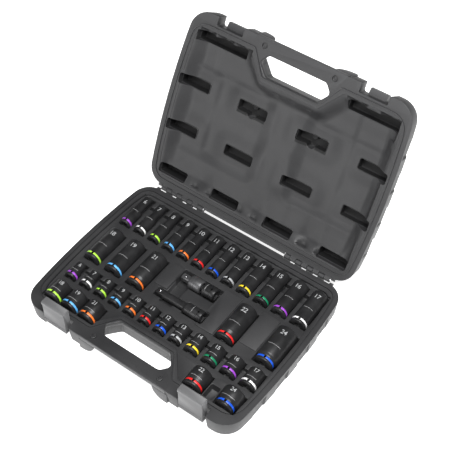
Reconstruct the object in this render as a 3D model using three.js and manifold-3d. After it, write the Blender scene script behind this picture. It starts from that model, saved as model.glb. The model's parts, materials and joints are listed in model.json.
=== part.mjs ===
// Impact socket set in a hinged carry case, built as separate closed bodies in millimetres.
// +X runs along the hinge, the handle is at -Y, +Z is up. The origin is the centre of the case's underside.
// The lid stands open on its stops, which is the rest position of every joint.
import * as THREE from 'three';
import Module from 'manifold-3d';

const wasm = await Module();
wasm.setup();

// ---- Case sizes ----
const CASE_WIDTH = 378;          // across the middle of the bowed sides
const CASE_DEPTH = 281;          // handle edge to hinge edge
const BASE_HEIGHT = 30;
const LID_HEIGHT = 28.5;
const SIDE_BOW = 7.5;            // how far the sides pull in at the corners
const FRONT_CORNER_RADIUS = 32;
const BACK_CORNER_RADIUS = 28;
const WALL = 2.5;                // blow-moulded wall
const SKIRT_DRAFT = 2.4;         // how far the walls lean in towards the outer face
const EDGE_ROUND = 3.2;          // rounding of the outer face's edge
const PART_GAP = 0.3;            // clearance between pieces that don't touch
const LID_OPEN_DEG = 118;

// ---- Rim, tray and side ribs ----
const LIP_INSET = 7.2;           // outside edge to the sealing groove
const GROOVE_WIDTH = 1.8;
const GROOVE_DEPTH = 1.6;
const TONGUE_HEIGHT = 1.1;
const TRAY_INSET_SIDE = 14.5;
const TRAY_INSET_BACK = 16;
const TRAY_INSET_FRONT = 25;
const DECK_DROP = 4.5;           // rim plane down to the tray deck and the socket axes
const RIB_PITCH = 52.3;
const RIB_COUNT = 5;
const RIB_LENGTH = 19;
const RIB_DEPTH = 3;
const RIM_FLANGE = 5;

// ---- Handle ----
const HANDLE_THICK = 9.2;
const HANDLE_FRONT_HALF = 48;    // half length of the opening's front edge
const HANDLE_WIDE_HALF = 58.5;
const HANDLE_BACK_HALF = 43.5;
const HANDLE_BAR_DEPTH = 21.8;
const HANDLE_WIDE_AT = 35;
const HANDLE_OPENING_BACK = 52.5;
const EAR_HALF = 74;             // where the rounded ears beside the bar reach full height
const EAR_REACH = 22.4;
const PEG_X = 58.2;
const PEG_Y = 11;
const PEG_RADIUS = 4.2;
const PEG_HOLE_GAP = 0.4;
const PEG_HEIGHT = 2.2;
const TRAPEZOID_WALL = 9;        // handle opening to the tray or lid panel behind it

// ---- Latches ----
const LATCH_CENTRE = 119;
const LATCH_WIDTH = 40;
const LATCH_SIDE_GAP = 2;
const NOTCH_DEPTH = 14;
const LATCH_FRONT = -2.5;        // front face, measured in from the case's front edge
const LATCH_BACK = 9.5;
const LATCH_PLATE = 3.2;
const LATCH_CHEEK = 3;
const LATCH_BRIDGE = 3.2;
const LATCH_TAIL = 15;           // below the rim plane
const LATCH_PIVOT_Y = 6.5;
const LATCH_PIVOT_DROP = 10;
const LATCH_PIN_RADIUS = 1.6;
const CATCH_WIDTH = 28;
const CATCH_REACH = 7.5;
const CATCH_HEIGHT = 8;
const PIN_RUNNING = 0.08;        // radial clearance of a turning pin

// ---- Hinge ----
const HINGE_BACK = 4.5;          // axis behind the case's back edge
const HINGE_RISE = 2;            // axis above the rim plane
const BARREL_RADIUS = 3.8;
const HINGE_PIN_RADIUS = 1.5;
const HINGE_START = 75;
const HINGE_LENGTH = 79;
const KNUCKLES = 8;
const STOP_REACH = 11.5;         // stop lug behind the axis
const STOP_GAP = 0.4;
const FLANGE_REACH = 3.2;        // lips along the back edges, beside and between the knuckles
const FLANGE_THICK = 2.4;
const FLANGE_GAP = 1;            // flange end to the nearest knuckle
const FLANGE_LENGTH = 6;         // outer pieces

// ---- Lid panel and its pits ----
const PANEL_DEPTH = 6.3;         // rim plane to the panel where nothing stands under it
const PANEL_CLEARANCE = 2.4;     // over the sockets when the lid is shut
const PANEL_FADE = 26;
const PANEL_CELL = 22;
const PIT_ROWS = [               // x, y, length, width, bulge radius
  { x: 127, y: 37.8, length: 83, width: 15, bulge: 0 },
  { x: 152.8, y: 110, length: 49, width: 15.5, bulge: 0 },
  { x: 51.5, y: 110, length: 49, width: 15.5, bulge: 7 },
  { x: 152.8, y: 184, length: 49, width: 15.5, bulge: 0 },
  { x: 51.5, y: 184, length: 49, width: 15.5, bulge: 0 },
  { x: 144, y: 255, length: 48, width: 14.5, bulge: 0 },
  { x: 48, y: 255, length: 48, width: 14.5, bulge: 0 },
];

// ---- Sockets ----
const DRIVE_SQUARE = 9.6;
const DRIVE_DEPTH = 11;
const DEEP_LENGTH = 63.5;
const SHALLOW_LENGTH = 30;
const SOCKET_GAP = 8.1;          // between neighbours in a row
const MIDDLE_GAP_LEFT = 13.4;
const FRONT_GAP = 3.2;
const POCKET_SIDE = 0.8;         // pocket clearance round a socket
const ACCESSORY_SIDE = 1.6;      // and round the extension bar
const SWIVEL_SIDE = 2.6;         // and round the swivel adapter, which bends in its pocket
const POCKET_END = 1.6;
const STEP_FROM_DRIVE = 30;      // where a slim deep socket narrows
const SHALLOW_STEP = 14;
const OUTER_DIAMETER = {
  6: 19, 7: 19, 8: 19, 9: 19, 10: 19, 11: 19, 12: 19, 13: 19.5, 14: 21.5,
  15: 23, 16: 24, 17: 25, 18: 27, 19: 28, 21: 30, 22: 31.5, 24: 34,
};
const NOSE_DIAMETER = { 6: 12, 7: 13, 8: 14, 9: 15.2, 10: 16, 11: 17.5, 12: 18.4 };
const DRIVE_DIAMETER = { 21: 27.5, 22: 28, 24: 28.5 };
const ROW_SIZES = [6, 7, 8, 9, 10, 11, 12, 13, 14, 15, 16, 17];

// ---- Row places, stacked from the hinge edge forward ----
const DEEP_ROW_END = 22.6;       // hinge edge to the deep row's hex end
const ROW_GAP_BACK = 18.3;
const ROW_GAP_MIDDLE = 12.8;
const ROW_GAP_FRONT = 14.2;
const LEFT_FIRST_X = -156.2;
const RIGHT_22_DEEP_X = 88.4;
const RIGHT_24_DEEP_X = 154.8;
const RIGHT_22_FRONT_X = 99.2;
const RIGHT_24_FRONT_X = 152;

// ---- Accessories ----
const EXT_LENGTH = 82;
const EXT_LEFT_X = -39;
const EXT_FROM_ROW = 67.4;      // deep row's drive faces to the extension's axis
const EXT_BAR_RADIUS = 6.2;
const EXT_HEAD_RADIUS = 9.2;
const EXT_HEAD_LENGTH = 28;
const MALE_SQUARE = 9.4;
const MALE_LENGTH = 12;
const BALL_RADIUS = 1.7;
const BALL_PROUD = 0.7;
const JOINT_LEFT_X = -25;
const JOINT_FROM_ROW = 25.4;    // deep row's drive faces to the swivel joint's axis
const JOINT_MALE = 16;
const JOINT_BARREL = 20;
const JOINT_SOCKET = 24;
const JOINT_RADIUS = 10.5;
const JOINT_SOCKET_RADIUS = 9.8;
const JOINT_NECK_RADIUS = 5.2;
const JOINT_BALL_RADIUS = 7;
const JOINT_BALL_BACK = 9;       // ball centre to the end of the barrel
const JOINT_SEAM = 1.9;          // room between the halves for the swing
const JOINT_RUNNING = 0.6;
const PANEL_RAISE = 1.5;         // flat tray panels above the deck
const PANEL_MARGIN = 2;          // pocket edge to a raised panel
const LEFT_PANEL_WIDTH = 22.5;
const DEEP_TROUGH = { from: 36, to: 53, below: 10 };      // drive face on, and under the socket axes
const SHALLOW_TROUGH = { from: 15.5, to: 24.5, below: 8 };
const FRONT_RECESS_LENGTH = 22;  // hollow between the two largest shallow sockets
const FRONT_RECESS_BELOW = 13;

const FACE_TOLERANCE = 0.01;     // flat faces that a cut split are made whole again within this

const RIM_Z = BASE_HEIGHT;
const AXIS_Z = RIM_Z - DECK_DROP;
const FRONT_Y = -CASE_DEPTH / 2;
const fromFront = (y) => FRONT_Y + y;
const toRadians = (deg) => (deg * Math.PI) / 180;

// ---- Shape tools ----
// A solid from a stack of rings with equal point counts, wound anticlockwise seen from the far end.
function stack(rings, project = (p) => new THREE.Vector2(p[0], p[1])) {
  const count = rings[0].length;
  const vertices = rings.flat();
  const faces = [];
  for (let level = 0; level < rings.length - 1; level += 1) {
    for (let i = 0; i < count; i += 1) {
      const a = level * count + i;
      const b = level * count + ((i + 1) % count);
      faces.push([a, b, b + count], [a, b + count, a + count]);
    }
  }
  const top = (rings.length - 1) * count;
  const cap = THREE.ShapeUtils.triangulateShape(rings[0].map(project), []);
  for (const [a, b, c] of cap) faces.push([c, b, a]);
  const lid = THREE.ShapeUtils.triangulateShape(rings[rings.length - 1].map(project), []);
  for (const [a, b, c] of lid) faces.push([a + top, b + top, c + top]);
  return solidFrom(vertices, faces);
}

function solidFrom(vertices, faces) {
  return new wasm.Manifold(new wasm.Mesh({
    numProp: 3,
    vertProperties: new Float32Array(vertices.flat()),
    triVerts: new Uint32Array(faces.flat()),
  }));
}

const yzOf = (p) => new THREE.Vector2(p[1], p[2]);
const zxOf = (p) => new THREE.Vector2(p[2], p[0]);

function anticlockwise(outline) {
  const area = THREE.ShapeUtils.area(outline.map(([a, b]) => new THREE.Vector2(a, b)));
  return area < 0 ? [...outline].reverse() : outline;
}

// Prisms along Z, X and Y: their outline points are (x, y), (y, z) and (z, x).
function prismZ(outline, z0, z1) {
  const points = anticlockwise(outline);
  return stack([z0, z1].map((z) => points.map(([x, y]) => [x, y, z])));
}

function prismX(outline, x0, x1) {
  const points = anticlockwise(outline);
  return stack([x0, x1].map((x) => points.map(([y, z]) => [x, y, z])), yzOf);
}

function prismY(outline, y0, y1) {
  const points = anticlockwise(outline);
  return stack([y0, y1].map((y) => points.map(([z, x]) => [x, y, z])), zxOf);
}

function box(x0, x1, y0, y1, z0, z1) {
  return prismZ([[x0, y0], [x1, y0], [x1, y1], [x0, y1]], z0, z1);
}

function circle(radius, segments, cx = 0, cy = 0, turn = 0) {
  return Array.from({ length: segments }, (_, i) => {
    const angle = ((i + 0.5) / segments) * 2 * Math.PI + turn;
    return [cx + radius * Math.cos(angle), cy + radius * Math.sin(angle)];
  });
}

// Turned solid along +Y or +X: profile points are (distance along, radius).
function turned(profile, segments, along) {
  const ring = ([d, r]) => circle(r, segments).map(([u, v]) => (along === 'y' ? [v, d, u] : [d, u, v]));
  return stack(profile.map(ring), along === 'y' ? zxOf : yzOf);
}

function joinAll(solids) {
  return solids.reduce((sum, solid) => sum.add(solid));
}

// Corners are {x, y, r}. The outline moves in by inset, and each corner is rounded.
function outlineOf(corners, inset = 0, segments = 2) {
  const n = corners.length;
  const shifted = corners.map((corner, i) => {
    const before = corners[(i + n - 1) % n];
    const after = corners[(i + 1) % n];
    const u = new THREE.Vector2(corner.x - before.x, corner.y - before.y).normalize();
    const v = new THREE.Vector2(after.x - corner.x, after.y - corner.y).normalize();
    const turn = u.cross(v);
    const half = Math.atan2(turn, u.dot(v)) / 2;
    const out = new THREE.Vector2(-(u.y + v.y), u.x + v.x).normalize().multiplyScalar(inset / Math.cos(half));
    const radius = turn > 0 ? corner.r - inset : corner.r + inset;
    const r = corner.r > 0 ? Math.max(radius, 0.4) : 0;
    const steps = corner.r > 15 ? segments + 3 : segments;
    return { x: corner.x + out.x, y: corner.y + out.y, r, u, v, half, steps };
  });
  return shifted.flatMap(({ x, y, r, u, v, half, steps }) => {
    if (r === 0) return [[x, y]];
    const back = r * Math.abs(Math.tan(half));
    const side = Math.sign(half);
    const centre = [x - u.x * back - u.y * r * side, y - u.y * back + u.x * r * side];
    const start = Math.atan2(-u.x * side, u.y * side);
    return Array.from({ length: steps + 1 }, (_, i) => {
      const angle = start + (2 * half * i) / steps;
      return [centre[0] + r * Math.cos(angle), centre[1] + r * Math.sin(angle)];
    });
  });
}

// Mirrors the right-hand corners to make a whole outline, front edge first.
function mirrored(right) {
  const left = right.map((corner) => ({ ...corner, x: -corner.x })).reverse();
  return [...right, ...left];
}

// ---- Case outlines, seen in plan ----
const halfWidthAt = (y) => CASE_WIDTH / 2 - SIDE_BOW * ((y - CASE_DEPTH / 2) / (CASE_DEPTH / 2)) ** 2;
const sideCorner = (y, inset = 0) => ({ x: halfWidthAt(y) - inset, y: fromFront(y), r: 0 });
const SIDE_STATIONS = [0.24, 0.5, 0.76].map((share) => share * CASE_DEPTH);
const notchLeft = LATCH_CENTRE - LATCH_WIDTH / 2 - LATCH_SIDE_GAP;
const notchRight = LATCH_CENTRE + LATCH_WIDTH / 2 + LATCH_SIDE_GAP;

// The full-height body, with the latch notches and the recess behind the handle.
const bodyCorners = mirrored([
  { x: HANDLE_BACK_HALF, y: fromFront(HANDLE_OPENING_BACK), r: 6 },
  { x: HANDLE_WIDE_HALF, y: fromFront(HANDLE_WIDE_AT), r: 6 },
  { x: EAR_HALF, y: fromFront(HANDLE_BAR_DEPTH - 4), r: 4 },
  { x: EAR_HALF, y: fromFront(0), r: 2.5 },
  { x: notchLeft, y: fromFront(0), r: 3 },
  { x: notchLeft, y: fromFront(NOTCH_DEPTH), r: 0 },
  { x: notchRight, y: fromFront(NOTCH_DEPTH), r: 0 },
  { x: notchRight, y: fromFront(0), r: 3 },
  { x: halfWidthAt(0), y: fromFront(0), r: FRONT_CORNER_RADIUS },
  ...SIDE_STATIONS.map((y) => sideCorner(y)),
  { x: halfWidthAt(CASE_DEPTH), y: fromFront(CASE_DEPTH), r: BACK_CORNER_RADIUS },
]);

// The inner boundary that the tray, the groove and the lid panel follow; grow moves it outward.
const innerCorners = (grow) => mirrored([
  { x: HANDLE_BACK_HALF + 4.5, y: fromFront(HANDLE_OPENING_BACK + TRAPEZOID_WALL - grow), r: 6 },
  { x: HANDLE_WIDE_HALF + 20 - grow, y: fromFront(TRAY_INSET_FRONT - grow), r: 6 },
  { x: halfWidthAt(0) - TRAY_INSET_SIDE + grow, y: fromFront(TRAY_INSET_FRONT - grow), r: 18 + grow },
  ...SIDE_STATIONS.map((y) => sideCorner(y, TRAY_INSET_SIDE - grow)),
  {
    x: halfWidthAt(CASE_DEPTH) - TRAY_INSET_SIDE + grow,
    y: fromFront(CASE_DEPTH - TRAY_INSET_BACK + grow),
    r: 12 + grow,
  },
]);
const lipGrow = TRAY_INSET_SIDE - LIP_INSET - GROOVE_WIDTH;
const lipRing = (outer, inner, z0, z1) => prismZ(outlineOf(innerCorners(outer), 0, 4), z0, z1)
  .subtract(prismZ(outlineOf(innerCorners(inner), 0, 4), z0 - 1, z1 + 1));

// ---- Half shells, built with the rim plane at z = 0 and the body below it ----
function halfBody(height) {
  const level = (z, inset) => outlineOf(bodyCorners, inset).map(([x, y]) => [x, y, z]);
  const body = stack([
    level(-height, SKIRT_DRAFT + EDGE_ROUND),
    level(-height + EDGE_ROUND * 0.3, SKIRT_DRAFT + EDGE_ROUND * 0.3),
    level(-height + EDGE_ROUND, SKIRT_DRAFT),
    level(0, 0),
  ]);
  return body.add(handleHalf(height)).subtract(sideRecesses(height));
}

// The bar, its ears and the plate round the opening.
function handleHalf(height) {
  const plate = box(-EAR_HALF - 1, EAR_HALF + 1, fromFront(0), fromFront(HANDLE_OPENING_BACK + 2), -HANDLE_THICK, 0);
  const earTop = -HANDLE_THICK;
  const ears = [-1, 1].map((side) => {
    const arc = Array.from({ length: 5 }, (_, i) => {
      const angle = (i / 4) * (Math.PI / 2);
      const x = EAR_HALF - EAR_REACH * Math.sin(angle);
      return [earTop - (height + earTop) * Math.cos(angle), side * x];
    });
    const outline = [[earTop + 1, side * (EAR_HALF - EAR_REACH)], [earTop + 1, side * (EAR_HALF + 4)],
      [-height, side * (EAR_HALF + 4)], ...arc];
    return prismY(outline, fromFront(0), fromFront(HANDLE_BAR_DEPTH - 5));
  });
  const opening = outlineOf(mirrored([
    { x: HANDLE_FRONT_HALF, y: fromFront(HANDLE_BAR_DEPTH), r: 9 },
    { x: HANDLE_WIDE_HALF, y: fromFront(HANDLE_WIDE_AT), r: 7 },
    { x: HANDLE_BACK_HALF, y: fromFront(HANDLE_OPENING_BACK), r: 7 },
  ]));
  return plate.add(joinAll(ears)).subtract(prismZ(opening, -height - 1, 1));
}

// Shallow recesses between the ribs on both sides, under the rim flange.
function sideRecesses(height) {
  const cuts = [];
  for (let rib = 0; rib < RIB_COUNT - 1; rib += 1) {
    const middle = CASE_DEPTH / 2 + (rib - (RIB_COUNT - 2) / 2) * RIB_PITCH;
    const half = (RIB_PITCH - RIB_LENGTH) / 2;
    const wall = halfWidthAt(middle);
    for (const side of [-1, 1]) {
      const outline = [[side * (wall - RIB_DEPTH - 1), middle - half + 4], [side * (wall + 6), middle - half - 3],
        [side * (wall + 6), middle + half + 3], [side * (wall - RIB_DEPTH - 1), middle + half - 4]]
        .map(([x, y]) => [x, fromFront(y)]);
      cuts.push(prismZ(outline, -height - 1, -RIM_FLANGE));
    }
  }
  return joinAll(cuts);
}

// ---- Where everything sits in the tray ----
function rowPlaces() {
  const deepHex = CASE_DEPTH - DEEP_ROW_END;
  const deepDrive = deepHex - DEEP_LENGTH;
  const middleDrive = deepDrive - ROW_GAP_BACK - DEEP_LENGTH;
  const shallowDrive = middleDrive - ROW_GAP_MIDDLE - SHALLOW_LENGTH;
  const frontDrive = shallowDrive - ROW_GAP_FRONT - SHALLOW_LENGTH;
  const places = [];
  const radius = (size) => OUTER_DIAMETER[size] / 2;
  const addRow = (kind, sizes, firstX, gap, drive) => {
    let x = firstX;
    sizes.forEach((size, i) => {
      if (i > 0) x += radius(sizes[i - 1]) + radius(size) + gap;
      places.push({ kind, size, x, y: fromFront(drive) });
    });
  };
  addRow('deep', ROW_SIZES, LEFT_FIRST_X, SOCKET_GAP, deepDrive);
  addRow('deep', [18, 19, 21], LEFT_FIRST_X + 4.5, MIDDLE_GAP_LEFT - 1.6, middleDrive);
  addRow('deep', [22], RIGHT_22_DEEP_X, 0, middleDrive);
  addRow('deep', [24], RIGHT_24_DEEP_X, 0, middleDrive);
  addRow('shallow', ROW_SIZES, LEFT_FIRST_X + 0.9, SOCKET_GAP, shallowDrive);
  addRow('shallow', [18, 19, 21], LEFT_FIRST_X + 4.8, FRONT_GAP, frontDrive);
  addRow('shallow', [22], RIGHT_22_FRONT_X, 0, frontDrive);
  addRow('shallow', [24], RIGHT_24_FRONT_X, 0, frontDrive);
  return places;
}
const places = rowPlaces();
const lengthOf = (place) => (place.kind === 'deep' ? DEEP_LENGTH : SHALLOW_LENGTH);
const radiusOf = (place) => OUTER_DIAMETER[place.size] / 2;

// A U-shaped pocket that holds a cylinder lying along Y.
function pocketY(x, y0, y1, radius) {
  const bottom = Array.from({ length: 7 }, (_, i) => {
    const angle = Math.PI + (i / 6) * Math.PI;
    return [AXIS_Z + radius * Math.sin(angle), x + radius * Math.cos(angle)];
  });
  const outline = [[RIM_Z + 5, x - radius], ...bottom, [RIM_Z + 5, x + radius]];
  return prismY(outline, y0, y1);
}

// A square-cut pocket for a cylinder lying along X.
function pocketX(y, x0, x1, radius) {
  return box(x0, x1, y - radius, y + radius, AXIS_Z - radius, RIM_Z + 5);
}

const extAxisY = places[0].y - EXT_FROM_ROW;
const jointAxisY = places[0].y - JOINT_FROM_ROW;
const extRightX = EXT_LEFT_X + EXT_LENGTH;
const jointBarrelX = JOINT_LEFT_X + JOINT_MALE;
const jointSocketX = jointBarrelX + JOINT_BARREL;
const jointRightX = jointSocketX + JOINT_SOCKET;

// Pockets for the extension bar and the swivel joint, with the finger recess between them.
function accessoryPockets() {
  const headX = extRightX - EXT_HEAD_LENGTH - 4;
  const recessLeft = EXT_LEFT_X + 12;
  const recessRight = EXT_LEFT_X + 34;
  return [
    pocketX(extAxisY, EXT_LEFT_X - 2, headX + 1, EXT_BAR_RADIUS + ACCESSORY_SIDE),
    pocketX(extAxisY, headX, extRightX + 4, EXT_HEAD_RADIUS + ACCESSORY_SIDE),
    pocketX(jointAxisY, JOINT_LEFT_X - 4, jointRightX + 5, JOINT_RADIUS + SWIVEL_SIDE),
    box(recessLeft, recessRight, extAxisY - 12, jointAxisY, AXIS_Z - 11, RIM_Z + 1),
  ];
}

// ---- Base shell ----
// The tub of the base. The tray inserts stand in it.
function buildBase() {
  let base = halfBody(BASE_HEIGHT).translate([0, 0, RIM_Z]);
  base = base.subtract(prismZ(outlineOf(innerCorners(0), 0, 4), WALL, RIM_Z + 5));
  base = base.subtract(lipRing(lipGrow + GROOVE_WIDTH, lipGrow, RIM_Z - GROOVE_DEPTH, RIM_Z + 1));
  base = base.subtract(joinAll(places.map(socketPocket)));
  base = base.add(basePegs()).add(baseKnuckles()).add(backFlange(RIM_Z - FLANGE_THICK));
  return base.subtract(latchPinBores());
}

const placeOf = (kind, size) => places.find((place) => place.kind === kind && place.size === size);
const pocketLeft = (place) => place.x - radiusOf(place) - POCKET_SIDE;
const pocketRight = (place) => place.x + radiusOf(place) + POCKET_SIDE;

const socketPocket = (place) => pocketY(
  place.x, place.y - POCKET_END, place.y + lengthOf(place) + POCKET_END, radiusOf(place) + POCKET_SIDE);

// Flat raised panels of the tray: left and right of the accessories, and between the two largest deep sockets.
const panels = [
  { x0: JOINT_LEFT_X - 4.5 - LEFT_PANEL_WIDTH, x1: JOINT_LEFT_X - 4.5, y0: extAxisY + 9.5, y1: jointAxisY + 10.5 },
  {
    x0: jointRightX + 6, x1: pocketLeft(placeOf('deep', 22)) - PANEL_MARGIN,
    y0: extAxisY - 15.5, y1: jointAxisY + 16.5,
  },
  {
    x0: pocketRight(placeOf('deep', 22)) + PANEL_MARGIN, x1: pocketLeft(placeOf('deep', 24)) - PANEL_MARGIN,
    y0: extAxisY - 2.5, y1: jointAxisY + 16.5,
  },
];

function trayPanels() {
  return joinAll(panels.map(({ x0, x1, y0, y1 }) => box(x0, x1, y0, y1, AXIS_Z - 1, AXIS_Z + PANEL_RAISE)));
}

// Troughs across the two long rows, so that fingers reach round the sockets, and the hollow at the front right.
function fingerTroughs() {
  const trough = (kind, { from, to, below }) => {
    const row = places.filter((place) => place.kind === kind && ROW_SIZES.includes(place.size));
    const [first, last] = [row[0], row[row.length - 1]];
    return box(first.x, last.x, first.y + from, first.y + to, AXIS_Z - below, RIM_Z + 1);
  };
  const hollowY = fromFront(TRAY_INSET_FRONT + PANEL_MARGIN);
  return [
    trough('deep', DEEP_TROUGH),
    trough('shallow', SHALLOW_TROUGH),
    box(pocketRight(placeOf('shallow', 22)) + PANEL_MARGIN, pocketLeft(placeOf('shallow', 24)) - PANEL_MARGIN,
      hollowY, hollowY + FRONT_RECESS_LENGTH, AXIS_Z - FRONT_RECESS_BELOW, RIM_Z + 1),
  ];
}

// The tray, one insert for each row or part of a row, standing on the tub's floor.
// Neighbours meet half-way between rows.
function buildTray() {
  const between = (a, b) => (a + b) / 2;
  const hexEnd = (place) => place.y + lengthOf(place);
  const frontBand = between(hexEnd(placeOf('shallow', 18)), placeOf('shallow', 6).y);
  const shallowBand = between(hexEnd(placeOf('shallow', 6)), placeOf('deep', 18).y);
  const middleBand = between(hexEnd(placeOf('deep', 18)), placeOf('deep', 6).y);
  const accessoryBand = between(extAxisY, jointAxisY);
  const middleLeft = between(pocketRight(placeOf('deep', 21)), panels[0].x0);
  const middleRight = between(panels[1].x1, pocketLeft(placeOf('deep', 22)));
  const [farX, farY] = [CASE_WIDTH, CASE_DEPTH];
  const outline = outlineOf(innerCorners(-PART_GAP), 0, 4);
  const slab = prismZ(outline, WALL + PART_GAP, AXIS_Z).add(trayPanels().intersect(prismZ(outline, WALL, RIM_Z)));
  const cuts = joinAll([...places.map(socketPocket), ...accessoryPockets(), ...fingerTroughs()]);
  const region = (x0, x1, y0, y1) => box(
    x0 + PART_GAP / 2, x1 - PART_GAP / 2, y0 + PART_GAP / 2, y1 - PART_GAP / 2, 0, RIM_Z + 5);
  const behindHandle = fromFront(HANDLE_OPENING_BACK + TRAPEZOID_WALL);
  const regions = {
    tray_front_left: region(-farX, -HANDLE_BACK_HALF, -farY, frontBand),
    tray_front_right: region(HANDLE_BACK_HALF, farX, -farY, frontBand),
    tray_shallow_row: region(-farX, farX, frontBand, shallowBand)
      .add(region(-HANDLE_BACK_HALF, HANDLE_BACK_HALF, behindHandle - PART_GAP, frontBand + 1)),
    tray_middle_left: region(-farX, middleLeft, shallowBand, middleBand),
    tray_extension: region(middleLeft, middleRight, shallowBand, accessoryBand),
    tray_swivel: region(middleLeft, middleRight, accessoryBand, middleBand),
    tray_middle_right: region(middleRight, farX, shallowBand, middleBand),
    tray_deep_row: region(-farX, farX, middleBand, farY),
  };
  return Object.entries(regions).map(([name, place]) => [name, slab.intersect(place).subtract(cuts)]);
}

function basePegs() {
  return joinAll([-1, 1].map((side) => prismZ(
    circle(PEG_RADIUS, 12, side * PEG_X, fromFront(PEG_Y)), RIM_Z - 1, RIM_Z + PEG_HEIGHT)));
}

const latchPivotY = fromFront(LATCH_PIVOT_Y);
const latchPivotZ = RIM_Z - LATCH_PIVOT_DROP;

// Blind holes for the latch pins in the notch walls.
function latchPinBores() {
  return joinAll([-1, 1].map((side) => latchPin(side, PIN_RUNNING, 3.4)));
}

function latchPin(side, extra, reach) {
  const half = LATCH_WIDTH / 2 + LATCH_SIDE_GAP + reach;
  return turned([[-half, LATCH_PIN_RADIUS + extra], [half, LATCH_PIN_RADIUS + extra]], 16, 'x')
    .translate([side * LATCH_CENTRE, latchPivotY, latchPivotZ]);
}

// ---- Hinge ----
const hingeY = CASE_DEPTH / 2 + HINGE_BACK;
const hingeZ = RIM_Z + HINGE_RISE;
const knuckleLength = HINGE_LENGTH / KNUCKLES;

function knuckles(first, bracket) {
  const solids = [];
  for (const side of [-1, 1]) {
    for (let i = first; i < KNUCKLES; i += 2) {
      const start = HINGE_START + i * knuckleLength + PART_GAP / 2;
      const x0 = side > 0 ? start : -(start + knuckleLength - PART_GAP);
      const x1 = x0 + knuckleLength - PART_GAP;
      const barrel = turned([[x0, BARREL_RADIUS], [x1, BARREL_RADIUS]], 16, 'x').translate([0, hingeY, hingeZ]);
      solids.push(barrel.add(prismX(bracket, x0, x1)));
    }
  }
  const bore = [-1, 1].map((side) => hingePin(side, PIN_RUNNING, 1));
  return joinAll(solids).subtract(joinAll(bore));
}

function hingePin(side, extra, reach) {
  const x0 = HINGE_START - reach;
  const x1 = HINGE_START + HINGE_LENGTH + reach;
  const radius = HINGE_PIN_RADIUS + extra;
  const span = side > 0 ? [[x0, radius], [x1, radius]] : [[-x1, radius], [-x0, radius]];
  return turned(span, 16, 'x').translate([0, hingeY, hingeZ]);
}

// Lips along the back edge that narrow the slot between the two halves of the open case.
function backFlange(bottom) {
  const back = CASE_DEPTH / 2;
  const inner = HINGE_START - FLANGE_GAP;
  const outer = HINGE_START + HINGE_LENGTH + FLANGE_GAP;
  const spans = [[-inner, inner], [outer, outer + FLANGE_LENGTH], [-outer - FLANGE_LENGTH, -outer]];
  return joinAll(spans.map(([x0, x1]) => box(
    x0, x1, back - 1, back + FLANGE_REACH, bottom, bottom + FLANGE_THICK)));
}

// The stop lug's sloped top lies just under the opened lid's back wall.
function baseKnuckles() {
  const back = CASE_DEPTH / 2;
  const open = toRadians(LID_OPEN_DEG);
  const stopTop = (y) => {
    const lift = HINGE_BACK / Math.sin(open) - ((y - hingeY) * Math.cos(open)) / -Math.sin(open);
    return hingeZ + lift - STOP_GAP / Math.sin(open);
  };
  const near = hingeY + 1.5;
  const far = hingeY + STOP_REACH;
  const bracket = [[back - 3, RIM_Z - 12], [back - 0.2, RIM_Z - 12], [hingeY + 2, hingeZ - 6.5], [far, hingeZ - 5],
    [far, stopTop(far)], [near + 2.4, stopTop(near + 2.4)], [near, hingeZ + 1], [hingeY, hingeZ], [back - 0.2, RIM_Z],
    [back - 3, RIM_Z]];
  return knuckles(0, bracket);
}

function lidKnuckles() {
  const back = CASE_DEPTH / 2;
  const bracket = [[back - 3, RIM_Z + PART_GAP], [back - 0.4, RIM_Z + PART_GAP], [hingeY - 1.5, hingeZ - 3],
    [hingeY + 2.6, hingeZ + 2.4], [back - 0.4, RIM_Z + 13], [back - 3, RIM_Z + 13]];
  return knuckles(1, bracket);
}

// ---- Lid shell, built shut ----
const smooth = (t) => t * t * (3 - 2 * t);

// Height of the lid panel over the rim plane: it rises over each tall socket and settles between them.
function panelHeight(x, y) {
  let height = PANEL_DEPTH;
  for (const place of places) {
    const needed = radiusOf(place) - DECK_DROP + PANEL_CLEARANCE;
    const dx = Math.max(Math.abs(x - place.x) - radiusOf(place) - PANEL_CELL, 0);
    const y1 = place.y + lengthOf(place);
    const dy = Math.max(place.y - PANEL_CELL - y, y - y1 - PANEL_CELL, 0);
    const near = Math.max(1 - Math.hypot(dx, dy) / PANEL_FADE, 0);
    height = Math.max(height, PANEL_DEPTH + (needed - PANEL_DEPTH) * smooth(near));
  }
  return height;
}

// Everything under the panel surface, raised by lift, over the whole case.
function underPanel(lift, bottom) {
  const columns = Math.ceil((CASE_WIDTH + 20) / PANEL_CELL);
  const rows = Math.ceil((CASE_DEPTH + 20) / PANEL_CELL);
  const vertices = [];
  for (const flat of [true, false]) {
    for (let j = 0; j <= rows; j += 1) {
      for (let i = 0; i <= columns; i += 1) {
        const x = (i / columns - 0.5) * (CASE_WIDTH + 20);
        const y = (j / rows - 0.5) * (CASE_DEPTH + 20);
        vertices.push([x, y, flat ? bottom : RIM_Z + panelHeight(x, y) + lift]);
      }
    }
  }
  const width = columns + 1;
  const layer = width * (rows + 1);
  const faces = [];
  const quad = (a, b, c, d) => faces.push([a, b, c], [a, c, d]);
  for (let j = 0; j < rows; j += 1) {
    for (let i = 0; i < columns; i += 1) {
      const a = j * width + i;
      quad(a, a + width, a + width + 1, a + 1);
      quad(a + layer, a + 1 + layer, a + width + 1 + layer, a + width + layer);
    }
  }
  for (let i = 0; i < columns; i += 1) {
    quad(i, i + 1, i + 1 + layer, i + layer);
    const a = rows * width + i;
    quad(a + 1, a, a + layer, a + 1 + layer);
  }
  for (let j = 0; j < rows; j += 1) {
    const a = j * width;
    quad(a + width, a, a + layer, a + width + layer);
    const b = a + columns;
    quad(b, b + width, b + width + layer, b + layer);
  }
  return solidFrom(vertices, faces);
}

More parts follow.
